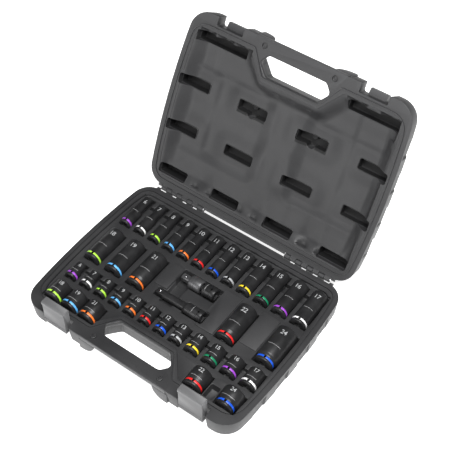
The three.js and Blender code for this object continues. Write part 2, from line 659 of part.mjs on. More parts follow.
function pit({ x, y, length, width, bulge }, side, grow, top) {
  const corner = (sx, sy) => ({
    x: side * x + sx * (length / 2 + grow), y: fromFront(y) + sy * (width / 2 + grow), r: grow > 0 ? 0 : 2,
  });
  const outline = outlineOf([corner(-1, -1), corner(1, -1), corner(1, 1), corner(-1, 1)], 0, 1);
  const solid = prismZ(outline, RIM_Z - 1, top);
  if (bulge === 0) return solid;
  const round = circle(bulge + grow, grow > 0 ? 6 : 10, side * x, fromFront(y + width / 2 - 2));
  return solid.add(prismZ(round, RIM_Z - 1, top));
}

const eachPit = (grow, top) => joinAll(PIT_ROWS.flatMap((row) => [-1, 1].map((side) => pit(row, side, grow, top))));
const lidTop = RIM_Z + LID_HEIGHT;
const lidFloor = lidTop - WALL;

// Outer skin and rim of the lid.
function buildLid() {
  let lid = halfBody(LID_HEIGHT).mirror([0, 0, 1]).translate([0, 0, RIM_Z]);
  lid = lid.subtract(box(-CASE_WIDTH, CASE_WIDTH, -CASE_DEPTH, CASE_DEPTH, RIM_Z - 1, RIM_Z + PART_GAP));
  lid = lid.subtract(prismZ(outlineOf(innerCorners(0), 0, 4), RIM_Z - 2, lidFloor)).subtract(eachPit(0, lidFloor));
  const tongue = lipRing(lipGrow + GROOVE_WIDTH - PART_GAP, lipGrow + PART_GAP, RIM_Z - TONGUE_HEIGHT, RIM_Z + 1);
  lid = lid.add(tongue).add(lidKnuckles()).add(backFlange(RIM_Z + PART_GAP)).add(catches());
  lid = lid.subtract(shutClearance());
  const pegHoles = [-1, 1].map((side) => prismZ(
    circle(PEG_RADIUS + PEG_HOLE_GAP, 12, side * PEG_X, fromFront(PEG_Y)),
    RIM_Z - 1, RIM_Z + PEG_HEIGHT + PEG_HOLE_GAP));
  return openedLid(lid.subtract(joinAll(pegHoles)));
}

// Inner skin of the lid: a gently dished sheet with the pits as cups that hang from it.
function buildLidPanel() {
  const inside = prismZ(outlineOf(innerCorners(-PART_GAP), 0, 4), RIM_Z, lidTop);
  const cups = eachPit(WALL, lidFloor - PART_GAP);
  const skin = underPanel(WALL, RIM_Z - 3).add(cups).intersect(inside);
  return openedLid(skin.subtract(underPanel(0, RIM_Z - 4)).subtract(eachPit(0, lidFloor - PART_GAP - WALL)));
}

// Room for every socket when the lid is shut.
function shutClearance() {
  return joinAll(places.map((place) => {
    const radius = (radiusOf(place) + POCKET_SIDE) / Math.cos(Math.PI / 12);
    return turned([[-POCKET_END, radius], [lengthOf(place) + POCKET_END, radius]], 12, 'y')
      .translate([place.x, place.y, AXIS_Z]);
  }));
}

// Rounded catch blocks that the latch bridges hook over.
function catches() {
  const top = RIM_Z + LID_HEIGHT - PART_GAP * 6;
  const back = fromFront(NOTCH_DEPTH + SKIRT_DRAFT + EDGE_ROUND);
  const front = fromFront(NOTCH_DEPTH - CATCH_REACH);
  const outline = [[back, top - CATCH_HEIGHT - 5], [front, top - CATCH_HEIGHT], [front, top - 2], [front + 2, top],
    [back, top]];
  return joinAll([-1, 1].map((side) => prismX(
    outline, side * LATCH_CENTRE - CATCH_WIDTH / 2, side * LATCH_CENTRE + CATCH_WIDTH / 2)));
}

function openedLid(lid) {
  return lid.translate([0, -hingeY, -hingeZ]).rotate([-LID_OPEN_DEG, 0, 0]).translate([0, hingeY, hingeZ]);
}

// ---- Latches ----
function buildLatch(side) {
  const x0 = side * LATCH_CENTRE - LATCH_WIDTH / 2;
  const x1 = side * LATCH_CENTRE + LATCH_WIDTH / 2;
  const top = RIM_Z + LID_HEIGHT + 1.6;
  const front = fromFront(LATCH_FRONT);
  const back = fromFront(LATCH_BACK);
  const low = RIM_Z - LATCH_TAIL;
  const shape = [[front + 2, low], [back - 3, low], [back, low + 3], [back, top - 1.2], [back - 1.2, top],
    [front + 3, top], [front, top - 4], [front, low + 2]];
  const hollow = [[front + LATCH_PLATE, low - 1], [back + 1, low - 1], [back + 1, top - LATCH_BRIDGE],
    [front + LATCH_PLATE, top - LATCH_BRIDGE]];
  const grip = [[front - 1, low + 1], [front + 1.6, low + 3], [front + 1.6, low + 8], [front - 1, low + 10]];
  const body = prismX(shape, x0, x1)
    .subtract(prismX(hollow, x0 + LATCH_CHEEK, x1 - LATCH_CHEEK))
    .subtract(prismX(grip, x0 + 6, x1 - 6));
  return body.subtract(latchPin(side, PIN_RUNNING, 3));
}

// ---- Sockets ----
function buildSocket(place) {
  const { kind, size, x, y } = place;
  const length = lengthOf(place);
  const radius = radiusOf(place);
  const driveRadius = (DRIVE_DIAMETER[size] ?? OUTER_DIAMETER[size]) / 2;
  const noseRadius = (NOSE_DIAMETER[size] ?? OUTER_DIAMETER[size]) / 2;
  const step = kind === 'deep' ? STEP_FROM_DRIVE : SHALLOW_STEP;
  const profile = [[0, driveRadius]];
  if (driveRadius < radius) profile.push([7.5, driveRadius], [12.5, radius]);
  if (noseRadius < radius) profile.push([step, radius], [step + 2, noseRadius]);
  profile.push([length - 2.4, noseRadius], [length, noseRadius - 1.9]);
  const hexRadius = (size + 0.15) / 2 / Math.cos(Math.PI / 6);
  const hexDepth = kind === 'deep' ? length - DRIVE_DEPTH - 8 : length - DRIVE_DEPTH - 4;
  const passage = Math.min(3.6, size / 2 - 0.5);
  const half = DRIVE_SQUARE / 2;
  const square = prismY([[-half, -half], [half, -half], [half, half], [-half, half]], -1, DRIVE_DEPTH);
  const solid = turned(profile, 16, 'y')
    .subtract(square)
    .subtract(turned([[length - hexDepth, hexRadius], [length + 1, hexRadius]], 6, 'y'))
    .subtract(turned([[DRIVE_DEPTH - 1, passage], [length - hexDepth + 1, passage]], 6, 'y'));
  return solid.translate([x, y, AXIS_Z]);
}

// ---- Accessories, lying along X with their male squares to the left ----
function maleSquare(length) {
  const half = MALE_SQUARE / 2;
  const cut = 1.1;
  const outline = [[-half + cut, -half], [half - cut, -half], [half, -half + cut], [half, half - cut],
    [half - cut, half], [-half + cut, half], [-half, half - cut], [-half, -half + cut]];
  const ring = (x, scale) => outline.map(([u, v]) => [x, u * scale, v * scale]);
  return stack([ring(0, 0.84), ring(1.2, 1), ring(length, 1)], yzOf);
}

function femaleSquare(x0, x1) {
  const half = DRIVE_SQUARE / 2;
  return box(x0, x1, -half, half, -half, half);
}

const ballSeatDepth = BALL_PROUD - 2 * BALL_RADIUS - 0.1;
const ballSeat = (x) => turned([[ballSeatDepth, BALL_RADIUS + 0.1], [4, BALL_RADIUS + 0.1]], 12, 'x')
  .rotate([0, -90, 0]).translate([x, 0, MALE_SQUARE / 2]);

function detentBall(x) {
  const rings = Array.from({ length: 6 }, (_, i) => {
    const angle = (-0.42 + (0.84 * i) / 5) * Math.PI;
    return circle(BALL_RADIUS * Math.cos(angle), 12)
      .map(([u, v]) => [x + u, v, MALE_SQUARE / 2 + BALL_PROUD - BALL_RADIUS + BALL_RADIUS * Math.sin(angle)]);
  });
  return stack(rings);
}

const BALL_AT = 6.5;             // detent ball from the end of the square

function buildExtension() {
  const headStart = EXT_LENGTH - EXT_HEAD_LENGTH;
  const body = turned([
    [MALE_LENGTH - 1, 5.4], [MALE_LENGTH + 2, EXT_BAR_RADIUS], [headStart - 4, EXT_BAR_RADIUS],
    [headStart, EXT_HEAD_RADIUS], [EXT_LENGTH - 1, EXT_HEAD_RADIUS], [EXT_LENGTH, EXT_HEAD_RADIUS - 1],
  ], 16, 'x');
  return maleSquare(MALE_LENGTH + 2).add(body)
    .subtract(femaleSquare(EXT_LENGTH - DRIVE_DEPTH, EXT_LENGTH + 1))
    .subtract(ballSeat(BALL_AT))
    .translate([EXT_LEFT_X, extAxisY, AXIS_Z]);
}

// The swivel's male end: square, barrel and the hollow that the ball of the other half turns in.
function buildJointMale() {
  const end = JOINT_MALE + JOINT_BARREL;
  const body = turned([
    [JOINT_MALE - 3, 5.2], [JOINT_MALE, JOINT_RADIUS - 0.8], [JOINT_MALE + 1, JOINT_RADIUS],
    [end - 0.8, JOINT_RADIUS], [end, JOINT_RADIUS - 0.8],
  ], 20, 'x');
  const cavityRadius = JOINT_BALL_RADIUS + JOINT_RUNNING;
  const ballX = end - JOINT_BALL_BACK;
  const dome = [80, 53, 26].map(toRadians)
    .map((angle) => [ballX - cavityRadius * Math.sin(angle), cavityRadius * Math.cos(angle)]);
  const cavity = turned([...dome, [ballX, cavityRadius], [end + 1, cavityRadius]], 16, 'x');
  return maleSquare(JOINT_MALE).add(body).subtract(cavity).subtract(ballSeat(BALL_AT))
    .translate([JOINT_LEFT_X, jointAxisY, AXIS_Z]);
}

function buildJointSocket() {
  const barrelEnd = JOINT_MALE + JOINT_BARREL;
  const start = barrelEnd + JOINT_SEAM;
  const end = barrelEnd + JOINT_SOCKET;
  const ballX = barrelEnd - JOINT_BALL_BACK;
  const ball = turned([
    [ballX - JOINT_BALL_RADIUS, 1.6], [ballX - 5, 4.9], [ballX, JOINT_BALL_RADIUS], [ballX + 4.6, JOINT_NECK_RADIUS],
    [start + 3.5, JOINT_NECK_RADIUS],
  ], 16, 'x');
  const body = turned([
    [start, JOINT_SOCKET_RADIUS - 2.6], [start + 1.8, JOINT_SOCKET_RADIUS], [end - 1, JOINT_SOCKET_RADIUS],
    [end, JOINT_SOCKET_RADIUS - 1],
  ], 20, 'x');
  return ball.add(body).subtract(femaleSquare(end - DRIVE_DEPTH, end + 1))
    .translate([JOINT_LEFT_X, jointAxisY, AXIS_Z]);
}

// ---- Assembly ----
const STEEL = { color: 0x2c2d2f, metalness: 0.7, roughness: 0.5 };
const PLASTIC = { color: 0x3a3a3a, metalness: 0, roughness: 0.6 };
const LATCH_PLASTIC = { color: 0x6f7070, metalness: 0, roughness: 0.5 };
const BRIGHT = { color: 0xb5b7ba, metalness: 0.9, roughness: 0.3 };

const group = new THREE.Group();
function addPart(name, solid, finish) {
  const { vertProperties, triVerts } = solid.asOriginal().simplify(FACE_TOLERANCE).getMesh();
  const geometry = new THREE.BufferGeometry();
  geometry.setAttribute('position', new THREE.BufferAttribute(new Float32Array(vertProperties), 3));
  geometry.setIndex(new THREE.BufferAttribute(new Uint32Array(triVerts), 1));
  geometry.computeVertexNormals();
  const mesh = new THREE.Mesh(geometry, new THREE.MeshStandardMaterial(finish));
  mesh.name = name;
  group.add(mesh);
}

addPart('base_shell', buildBase(), PLASTIC);
for (const [name, insert] of buildTray()) addPart(name, insert, PLASTIC);
addPart('lid_shell', buildLid(), PLASTIC);
addPart('lid_panel', buildLidPanel(), PLASTIC);
for (const [side, word] of [[-1, 'left'], [1, 'right']]) {
  addPart(`latch_${word}`, buildLatch(side), LATCH_PLASTIC);
  addPart(`latch_pin_${word}`, latchPin(side, 0, 3), BRIGHT);
  addPart(`hinge_pin_${word}`, hingePin(side, 0, 0.6), BRIGHT);
}
for (const place of places) {
  addPart(`socket_${place.kind}_${String(place.size).padStart(2, '0')}`, buildSocket(place), STEEL);
}
addPart('extension_bar', buildExtension(), STEEL);
addPart('extension_ball', detentBall(BALL_AT).translate([EXT_LEFT_X, extAxisY, AXIS_Z]), BRIGHT);
addPart('swivel_male_half', buildJointMale(), STEEL);
addPart('swivel_ball', detentBall(BALL_AT).translate([JOINT_LEFT_X, jointAxisY, AXIS_Z]), BRIGHT);
addPart('swivel_socket_half', buildJointSocket(), STEEL);

export default group;
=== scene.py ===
"""Looks of the socket set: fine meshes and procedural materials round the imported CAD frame.

Sizes here are millimetres.
"""
import json
import math
import bmesh
import bpy
from mathutils import Matrix, Vector


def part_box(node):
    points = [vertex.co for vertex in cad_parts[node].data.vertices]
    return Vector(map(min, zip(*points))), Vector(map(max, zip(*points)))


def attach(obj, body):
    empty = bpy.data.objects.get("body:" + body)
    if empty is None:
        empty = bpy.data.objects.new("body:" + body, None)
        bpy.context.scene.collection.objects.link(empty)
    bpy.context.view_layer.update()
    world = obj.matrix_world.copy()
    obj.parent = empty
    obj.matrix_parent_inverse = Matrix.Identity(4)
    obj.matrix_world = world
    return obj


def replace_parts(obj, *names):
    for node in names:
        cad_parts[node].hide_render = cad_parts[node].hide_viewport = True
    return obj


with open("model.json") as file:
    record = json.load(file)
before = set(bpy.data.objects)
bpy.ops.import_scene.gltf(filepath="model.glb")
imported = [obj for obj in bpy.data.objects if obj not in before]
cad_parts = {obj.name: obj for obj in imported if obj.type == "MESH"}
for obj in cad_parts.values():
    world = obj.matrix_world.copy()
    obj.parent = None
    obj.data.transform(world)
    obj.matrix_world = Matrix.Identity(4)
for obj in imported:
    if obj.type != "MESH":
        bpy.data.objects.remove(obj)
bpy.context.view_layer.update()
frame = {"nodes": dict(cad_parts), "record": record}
MM = 0.001

# ---- Camera: the view that the real case is seen from ----
AZIMUTH, ELEVATION, ROLL = 35.89, 49.49, 0.29
TARGET = Vector((-31.05, 141.27, 30.0)) * MM
CAMERA_DISTANCE = 1.5955
LENS = 84.73


def place_camera():
    az, el, roll = (math.radians(a) for a in (AZIMUTH, ELEVATION, ROLL))
    back = Vector((math.sin(az) * math.cos(el), -math.cos(az) * math.cos(el), math.sin(el)))
    right = (-back).cross(Vector((0, 0, 1))).normalized()
    up = right.cross(-back)
    right, up = right * math.cos(roll) + up * math.sin(roll), up * math.cos(roll) - right * math.sin(roll)
    data = bpy.data.cameras.new("camera")
    data.lens = LENS
    data.sensor_width = 36
    data.clip_end = 20
    camera = bpy.data.objects.new("camera", data)
    basis = Matrix((right, up, back)).transposed().to_4x4()
    camera.matrix_world = Matrix.Translation(TARGET + back * CAMERA_DISTANCE) @ basis
    bpy.context.scene.collection.objects.link(camera)
    bpy.context.scene.camera = camera


place_camera()

# ---- Sizes shared by the pieces, from the CAD where it holds them ----
base_low, base_high = (Vector(v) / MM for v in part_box("base_shell"))
hinge_joint = next(j for j in frame["record"]["behaviour"]["joints"] if j["name"] == "lid_hinge")
HINGE_Y, HINGE_Z = (v / MM for v in hinge_joint["pos_m"][1:])
CASE_WIDTH = base_high.x - base_low.x
FRONT = base_low.y
HINGE_BACK, HINGE_RISE = 4.5, 2.0
BACK = HINGE_Y - HINGE_BACK
DEPTH = BACK - FRONT
RIM = HINGE_Z - HINGE_RISE
LID_HEIGHT = 28.5
OPEN_DEG = 118.0
DECK_DROP = 4.5
AXIS = RIM - DECK_DROP
SIDE_BOW = 7.5
WALL = 2.5
DRAFT = 2.4
EDGE_ROUND = 3.2
SOFT_EDGE = 0.9
TRAY_SIDE = 14.5
TRAY_BACK = 16.0
TRAY_FRONT = 25.0
LIP_OUT = TRAY_SIDE - 7.2
HANDLE_THICK = 9.2
HANDLE_BAR = 21.8
HANDLE_WIDE_Y = 35.0
HANDLE_BACK_Y = 52.5
HANDLE_FRONT_HALF, HANDLE_WIDE_HALF, HANDLE_BACK_HALF = 48.0, 58.5, 43.5
EAR_HALF, EAR_REACH = 74.0, 22.4
LATCH_X, LATCH_WIDTH, NOTCH_DEPTH = 119.0, 40.0, 14.0
PEG_X, PEG_Y, PEG_RADIUS, PEG_HOLE = 58.2, 11.0, 4.2, 4.6
FLANGE_REACH, FLANGE_THICK, FLANGE_LENGTH = 3.2, 2.4, 6.0
NOSE = {6: 12, 7: 13, 8: 14, 9: 15.2, 10: 16, 11: 17.5, 12: 18.4}
DRIVE_NECK = {21: 27.5, 22: 28, 24: 28.5}
OUTSIDE = {6: 19, 7: 19, 8: 19, 9: 19, 10: 19, 11: 19, 12: 19, 13: 19.5, 14: 21.5,
           15: 23, 16: 24, 17: 25, 18: 27, 19: 28, 21: 30, 22: 31.5, 24: 34}
DRIVE_SQUARE, DRIVE_DEPTH = 9.6, 11.0
DRIVE_HALF, DRIVE_CHAMFER = 4.7, 1.2        # the male square
BALL_RADIUS, BALL_PROUD = 1.7, 0.7
BALL_FROM_TIP = 6.5
POCKET_SIDE, POCKET_END = 0.8, 1.6          # room round a socket
ACCESSORY_SIDE, SWIVEL_SIDE = 1.6, 2.6      # and round the extension and the swivel
BAR_RADIUS, HEAD_RADIUS, HEAD_LENGTH = 6.2, 9.2, 28.0
SWIVEL_RADIUS, DRIVEN_RADIUS = 10.5, 9.8
LATCH_PIVOT_Y, LATCH_PIVOT_DROP, LATCH_BORE = 6.5, 10.0, 1.68
ABOVE = 8.0                                 # how far the cutters reach over the rim


def from_front(y):
    return FRONT + y


def half_width(y):
    return CASE_WIDTH / 2 - SIDE_BOW * ((y - DEPTH / 2) / (DEPTH / 2)) ** 2


# ---- Mesh tools ----
def new_object(name, mesh):
    obj = bpy.data.objects.new(name, mesh)
    bpy.context.scene.collection.objects.link(obj)
    return obj


def mesh_from(name, vertices, faces):
    """Vertices in millimetres. Faces are turned to point outwards."""
    mesh = bpy.data.meshes.new(name)
    mesh.from_pydata([Vector(v) * MM for v in vertices], [], faces)
    bm = bmesh.new()
    bm.from_mesh(mesh)
    bmesh.ops.recalc_face_normals(bm, faces=bm.faces)
    bm.to_mesh(mesh)
    bm.free()
    return new_object(name, mesh)


def stack(name, rings):
    """A closed solid through rings of equal point counts."""
    count = len(rings[0])
    faces = []
    for level in range(len(rings) - 1):
        for i in range(count):
            a = level * count + i
            b = level * count + (i + 1) % count
            faces.append((a, b, b + count, a + count))
    faces.append(tuple(range(count)))
    top = (len(rings) - 1) * count
    faces.append(tuple(range(top, top + count)))
    return mesh_from(name, [v for ring in rings for v in ring], faces)


def prism_z(outline, z0, z1, name="cutter"):
    return stack(name, [[(x, y, z) for x, y in outline] for z in (z0, z1)])


def prism_x(outline, x0, x1, name="cutter"):
    """Outline points are (y, z)."""
    return stack(name, [[(x, y, z) for y, z in outline] for x in (x0, x1)])


def prism_y(outline, y0, y1, name="cutter"):
    """Outline points are (x, z)."""
    return stack(name, [[(x, y, z) for x, z in outline] for y in (y0, y1)])


def circle(radius, segments, cx=0.0, cy=0.0):
    step = 2 * math.pi / segments
    return [(cx + radius * math.cos(i * step + step / 2), cy + radius * math.sin(i * step + step / 2))
            for i in range(segments)]


def turned(name, profile, segments, along, at=(0, 0, 0)):
    """A turned solid. Profile points are (distance along, radius)."""
    def placed(d, u, v):
        x, y, z = {"x": (d, u, v), "y": (v, d, u), "z": (u, v, d)}[along]
        return x + at[0], y + at[1], z + at[2]

    return stack(name, [[placed(d, u, v) for u, v in circle(r, segments)] for d, r in profile])


def evaluated(obj):
    """Applies the object's modifiers."""
    bpy.context.view_layer.update()
    graph = bpy.context.evaluated_depsgraph_get()
    mesh = bpy.data.meshes.new_from_object(obj.evaluated_get(graph))
    obj.modifiers.clear()
    old = obj.data
    obj.data = mesh
    bpy.data.meshes.remove(old)


def combine(obj, other, operation):
    modifier = obj.modifiers.new("combine", "BOOLEAN")
    modifier.operation = operation
    modifier.solver = "MANIFOLD"
    modifier.object = other
    evaluated(obj)
    bpy.data.objects.remove(other)
    return obj


def cut(obj, *others):
    for other in others:
        combine(obj, other, "DIFFERENCE")
    return obj


def join(obj, *others):
    for other in others:
        combine(obj, other, "UNION")
    return obj


def merged(objects):
    """One mesh from solids that don't touch each other."""
    first = objects[0]
    if len(objects) == 1:
        return first
    bm = bmesh.new()
    for obj in objects:
        bm.from_mesh(obj.data)
    bm.to_mesh(first.data)
    bm.free()
    for obj in objects[1:]:
        bpy.data.objects.remove(obj)
    return first


def smooth(obj, degrees=32):
    for polygon in obj.data.polygons:
        polygon.use_smooth = True
    obj.data.set_sharp_from_angle(angle=math.radians(degrees))
    return obj


def outline_of(corners, inset=0.0, steps=8):
    """Moves the outline of (x, y, radius) corners in by inset, and rounds each corner."""
    n = len(corners)
    points = []
    for i, (cx, cy, radius) in enumerate(corners):
        here = Vector((cx, cy))
        u = (here - Vector(corners[i - 1][:2])).normalized()
        v = (Vector(corners[(i + 1) % n][:2]) - here).normalized()
        half = math.atan2(u.x * v.y - u.y * v.x, u.dot(v)) / 2
        here += Vector((-(u.y + v.y), u.x + v.x)).normalized() * (inset / math.cos(half))
        if radius == 0:
            points.append((here.x, here.y))
            continue
        r = max(radius - inset if half > 0 else radius + inset, 0.4)
        back = r * abs(math.tan(half))
        side = 1 if half > 0 else -1
        centre = here - u * back + Vector((-u.y, u.x)) * r * side
        start = math.atan2(-u.x * side, u.y * side)
        for k in range(steps + 1):
            angle = start + 2 * half * k / steps
            points.append((centre.x + r * math.cos(angle), centre.y + r * math.sin(angle)))
    return points


def rounded_rect(x0, x1, y0, y1, radius, grow=0.0, steps=4):
    corners = [(x0, y0, radius), (x1, y0, radius), (x1, y1, radius), (x0, y1, radius)]
    return outline_of(corners, -grow, steps)


def mirrored(right):
    return right + [(-x, y, r) for x, y, r in reversed(right)]


SIDE_STATIONS = [0.16 + 0.68 * i / 8 for i in range(9)]
NOTCH_IN = LATCH_X - LATCH_WIDTH / 2 - 2
NOTCH_OUT = LATCH_X + LATCH_WIDTH / 2 + 2


def body_corners():
    sides = [(half_width(s * DEPTH), from_front(s * DEPTH), 0) for s in SIDE_STATIONS]
    return mirrored([
        (HANDLE_BACK_HALF, from_front(HANDLE_BACK_Y), 6), (HANDLE_WIDE_HALF, from_front(HANDLE_WIDE_Y), 6),
        (EAR_HALF, from_front(HANDLE_BAR - 4), 4), (EAR_HALF, from_front(0), 2.5),
        (NOTCH_IN, from_front(0), 3), (NOTCH_IN, from_front(NOTCH_DEPTH), 1.2),
        (NOTCH_OUT, from_front(NOTCH_DEPTH), 1.2), (NOTCH_OUT, from_front(0), 3),
        (half_width(0), from_front(0), 32), *sides, (half_width(DEPTH), from_front(DEPTH), 28)])


def inner_corners(grow=0.0):
    sides = [(half_width(s * DEPTH) - TRAY_SIDE + grow, from_front(s * DEPTH), 0) for s in SIDE_STATIONS]
    return mirrored([
        (HANDLE_BACK_HALF + 4.5, from_front(HANDLE_BACK_Y + 9 - grow), 6),
        (HANDLE_WIDE_HALF + 20 - grow, from_front(TRAY_FRONT - grow), 6),
        (half_width(0) - TRAY_SIDE + grow, from_front(TRAY_FRONT - grow), 18 + grow),
        *sides, (half_width(DEPTH) - TRAY_SIDE + grow, from_front(DEPTH - TRAY_BACK + grow), 12 + grow)])


def layer(corners, z, inset=0.0, steps=8):
    return [(x, y, z) for x, y in outline_of(corners, inset, steps)]


# ---- Materials ----
def shader(name, roughness, metallic=0.0):
    material = bpy.data.materials.new(name)
    material.use_nodes = True
    nodes = material.node_tree.nodes
    principled = nodes["Principled BSDF"]
    principled.inputs["Roughness"].default_value = roughness
    principled.inputs["Metallic"].default_value = metallic
    return material, nodes, material.node_tree.links, principled


def noise(nodes, links, coordinates, scale, detail=3.0):
    texture = nodes.new("ShaderNodeTexNoise")
    texture.inputs["Scale"].default_value = scale
    texture.inputs["Detail"].default_value = detail
    links.new(coordinates, texture.inputs["Vector"])
    return texture.outputs["Fac"]


def ramp(nodes, links, factor, stops):
    node = nodes.new("ShaderNodeValToRGB")
    while len(node.color_ramp.elements) < len(stops):
        node.color_ramp.elements.new(0.5)
    for element, (position, colour) in zip(node.color_ramp.elements, stops):
        element.position = position
        element.color = (*colour, 1)
    links.new(factor, node.inputs["Fac"])
    return node.outputs["Color"]


def spread(nodes, links, factor, low, high):
    node = nodes.new("ShaderNodeMapRange")
    node.inputs["To Min"].default_value = low
    node.inputs["To Max"].default_value = high
    links.new(factor, node.inputs["Value"])
    return node.outputs["Result"]


def bump(nodes, links, height, principled, strength, distance):
    node = nodes.new("ShaderNodeBump")
    node.inputs["Strength"].default_value = strength
    node.inputs["Distance"].default_value = distance
    links.new(height, node.inputs["Height"])
    links.new(node.outputs["Normal"], principled.inputs["Normal"])


PLASTIC_SHEEN, STEEL_SHEEN = 0.3, 0.35


def moulded_plastic(name, dark, light, roughness, grain=0.00022):
    """Blow-moulded plastic: fine grain, slow cloudiness in colour and gloss, and paler worn edges."""
    material, nodes, links, principled = shader(name, roughness)
    place = nodes.new("ShaderNodeTexCoord").outputs["Object"]
    cloud = noise(nodes, links, place, 14, 4)
    speck = noise(nodes, links, place, 900, 2)
    mix = nodes.new("ShaderNodeMath")
    mix.operation = "MULTIPLY_ADD"
    mix.inputs[1].default_value = 0.3
    links.new(speck, mix.inputs[0])
    links.new(cloud, mix.inputs[2])
    colour = ramp(nodes, links, mix.outputs[0], [(0.4, dark), (0.85, light)])
    worn = nodes.new("ShaderNodeMix")
    worn.data_type = "RGBA"
    edge = ramp(nodes, links, nodes.new("ShaderNodeNewGeometry").outputs["Pointiness"],
                [(0.52, (0, 0, 0)), (0.62, (0.6, 0.6, 0.6))])
    links.new(edge, worn.inputs["Factor"])
    links.new(colour, worn.inputs["A"])
    worn.inputs["B"].default_value = (*[min(1, c * 2.2) for c in light], 1)
    links.new(worn.outputs["Result"], principled.inputs["Base Color"])
    links.new(spread(nodes, links, cloud, roughness - 0.07, roughness + 0.08), principled.inputs["Roughness"])
    principled.inputs["Specular IOR Level"].default_value = PLASTIC_SHEEN
    bump(nodes, links, speck, principled, 0.35, grain)
    return material


def phosphate_steel(name, dark, light, roughness, metallic):
    """Forged steel under a black phosphate coat: grainy, slightly uneven, softly glossy."""
    material, nodes, links, principled = shader(name, roughness, metallic)
    place = nodes.new("ShaderNodeTexCoord").outputs["Object"]
    cloud = noise(nodes, links, place, 60, 5)
    grain = noise(nodes, links, place, 1500, 3)
    links.new(ramp(nodes, links, cloud, [(0.3, dark), (0.7, light)]), principled.inputs["Base Color"])
    links.new(spread(nodes, links, cloud, roughness - 0.06, roughness + 0.07), principled.inputs["Roughness"])
    principled.inputs["Specular IOR Level"].default_value = STEEL_SHEEN
    bump(nodes, links, grain, principled, 0.3, 0.0001)
    return material


def enamel(name, colour):
    """Baked colour coat on a size band, with slight mottling."""
    material, nodes, links, principled = shader(name, 0.35)
    place = nodes.new("ShaderNodeTexCoord").outputs["Object"]
    mottle = noise(nodes, links, place, 260, 3)
    shade = tuple(c * 0.8 for c in colour)
    links.new(ramp(nodes, links, mottle, [(0.3, shade), (0.65, colour)]), principled.inputs["Base Color"])
    links.new(spread(nodes, links, mottle, 0.3, 0.42), principled.inputs["Roughness"])
    bump(nodes, links, mottle, principled, 0.15, 0.00008)
    return material


CASE = moulded_plastic("case_plastic", (0.019, 0.019, 0.02), (0.031, 0.031, 0.032), 0.44)
LATCH = moulded_plastic("latch_plastic", (0.075, 0.075, 0.077), (0.095, 0.095, 0.097), 0.48)
# Painted shade: a near-black plastic for the insides of the lid's pits, standing in for the shadow in them
PIT_SHADE = moulded_plastic("pit_painted_shade", (0.004, 0.004, 0.0042), (0.008, 0.008, 0.0083), 0.6)
STEEL = phosphate_steel("black_phosphate", (0.014, 0.014, 0.0145), (0.026, 0.026, 0.027), 0.36, 0.2)
GREY_STEEL = phosphate_steel("grey_phosphate", (0.075, 0.075, 0.078), (0.13, 0.13, 0.134), 0.38, 0.6)
BRIGHT = phosphate_steel("bright_steel", (0.5, 0.5, 0.52), (0.7, 0.7, 0.72), 0.22, 1.0)
PAINT = enamel("numeral_paint", (0.36, 0.365, 0.37))
ETCHED = enamel("etched_line", (0.32, 0.32, 0.325))
BAND_COLOURS = {
    "purple": (0.36, 0.07, 0.6), "white": (0.85, 0.85, 0.85), "lime": (0.42, 0.8, 0.06),
    "sky": (0.12, 0.45, 0.9), "orange": (0.95, 0.2, 0.03), "red": (0.75, 0.02, 0.02),
    "blue": (0.01, 0.1, 0.7), "silver": (0.42, 0.43, 0.44), "yellow": (0.9, 0.68, 0.03),
    "green": (0.01, 0.22, 0.1),
}
BANDS = {key: enamel("band_" + key, colour) for key, colour in BAND_COLOURS.items()}
BAND_OF = {6: "purple", 7: "white", 8: "lime", 9: "sky", 10: "orange", 11: "red", 12: "blue", 13: "silver",
           14: "yellow", 15: "green", 16: "purple", 17: "white", 18: "lime", 19: "sky", 21: "orange",
           22: "red", 24: "blue"}


def dress(obj, material, body):
    obj.data.materials.clear()
    obj.data.materials.append(material)
    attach(obj, body)
    return obj


# ---- Sockets ----
sockets = {}
for node in frame["nodes"]:
    if node.startswith("socket_"):
        _, kind, size = node.split("_")
        low, high = (Vector(v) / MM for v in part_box(node))
        sockets[node] = {"kind": kind, "size": int(size), "x": (low.x + high.x) / 2, "y": low.y,
                         "length": high.y - low.y, "radius": OUTSIDE[int(size)] / 2}
AROUND = 56
BAND_FROM, BAND_TO = 4.0, 7.0
PIN_HOLE_AT, PIN_HOLE_RADIUS = 5.5, 1.75


def socket_profile(s):
    size, length, radius = s["size"], s["length"], s["radius"]
    drive = DRIVE_NECK.get(size, 2 * radius) / 2
    nose = NOSE.get(size, 2 * radius) / 2
    points = [(0, drive - 1.1), (0.3, drive - 0.5), (0.9, drive - 0.1), (1.4, drive),
              (BAND_FROM - 0.1, drive), (BAND_FROM, drive - 0.5), (BAND_TO, drive - 0.5),
              (BAND_TO + 0.1, drive)]
    if drive < radius:
        rise = radius - drive
        points += [(7.6 + 5.2 * t, drive + rise * (t * t * (3 - 2 * t))) for t in (0, 0.2, 0.4, 0.6, 0.8, 1)]
    if nose < radius:
        step = 30.0 if s["kind"] == "deep" else 14.0
        points += [(step - 0.6, radius), (step, radius - 0.25), (step + 1.4, nose + 0.2), (step + 2, nose)]
    points += [(length - 2.6, nose), (length - 1.7, nose - 0.22), (length - 0.9, nose - 0.7),
               (length - 0.3, nose - 1.4), (length, nose - 2.1)]
    return points, nose


def wrapped(obj, radius, lift=0.06):
    """Bends a flat mesh, drawn in x and y round zero, onto the top of a cylinder along Y."""
    for vertex in obj.data.vertices:
        x, y, z = (c / MM for c in vertex.co)
        angle = x / radius
        out = radius + lift + z
        vertex.co = Vector((out * math.sin(angle), y, out * math.cos(angle))) * MM
    return obj


SLICES, SLICE_WIDTH = 8, 0.75


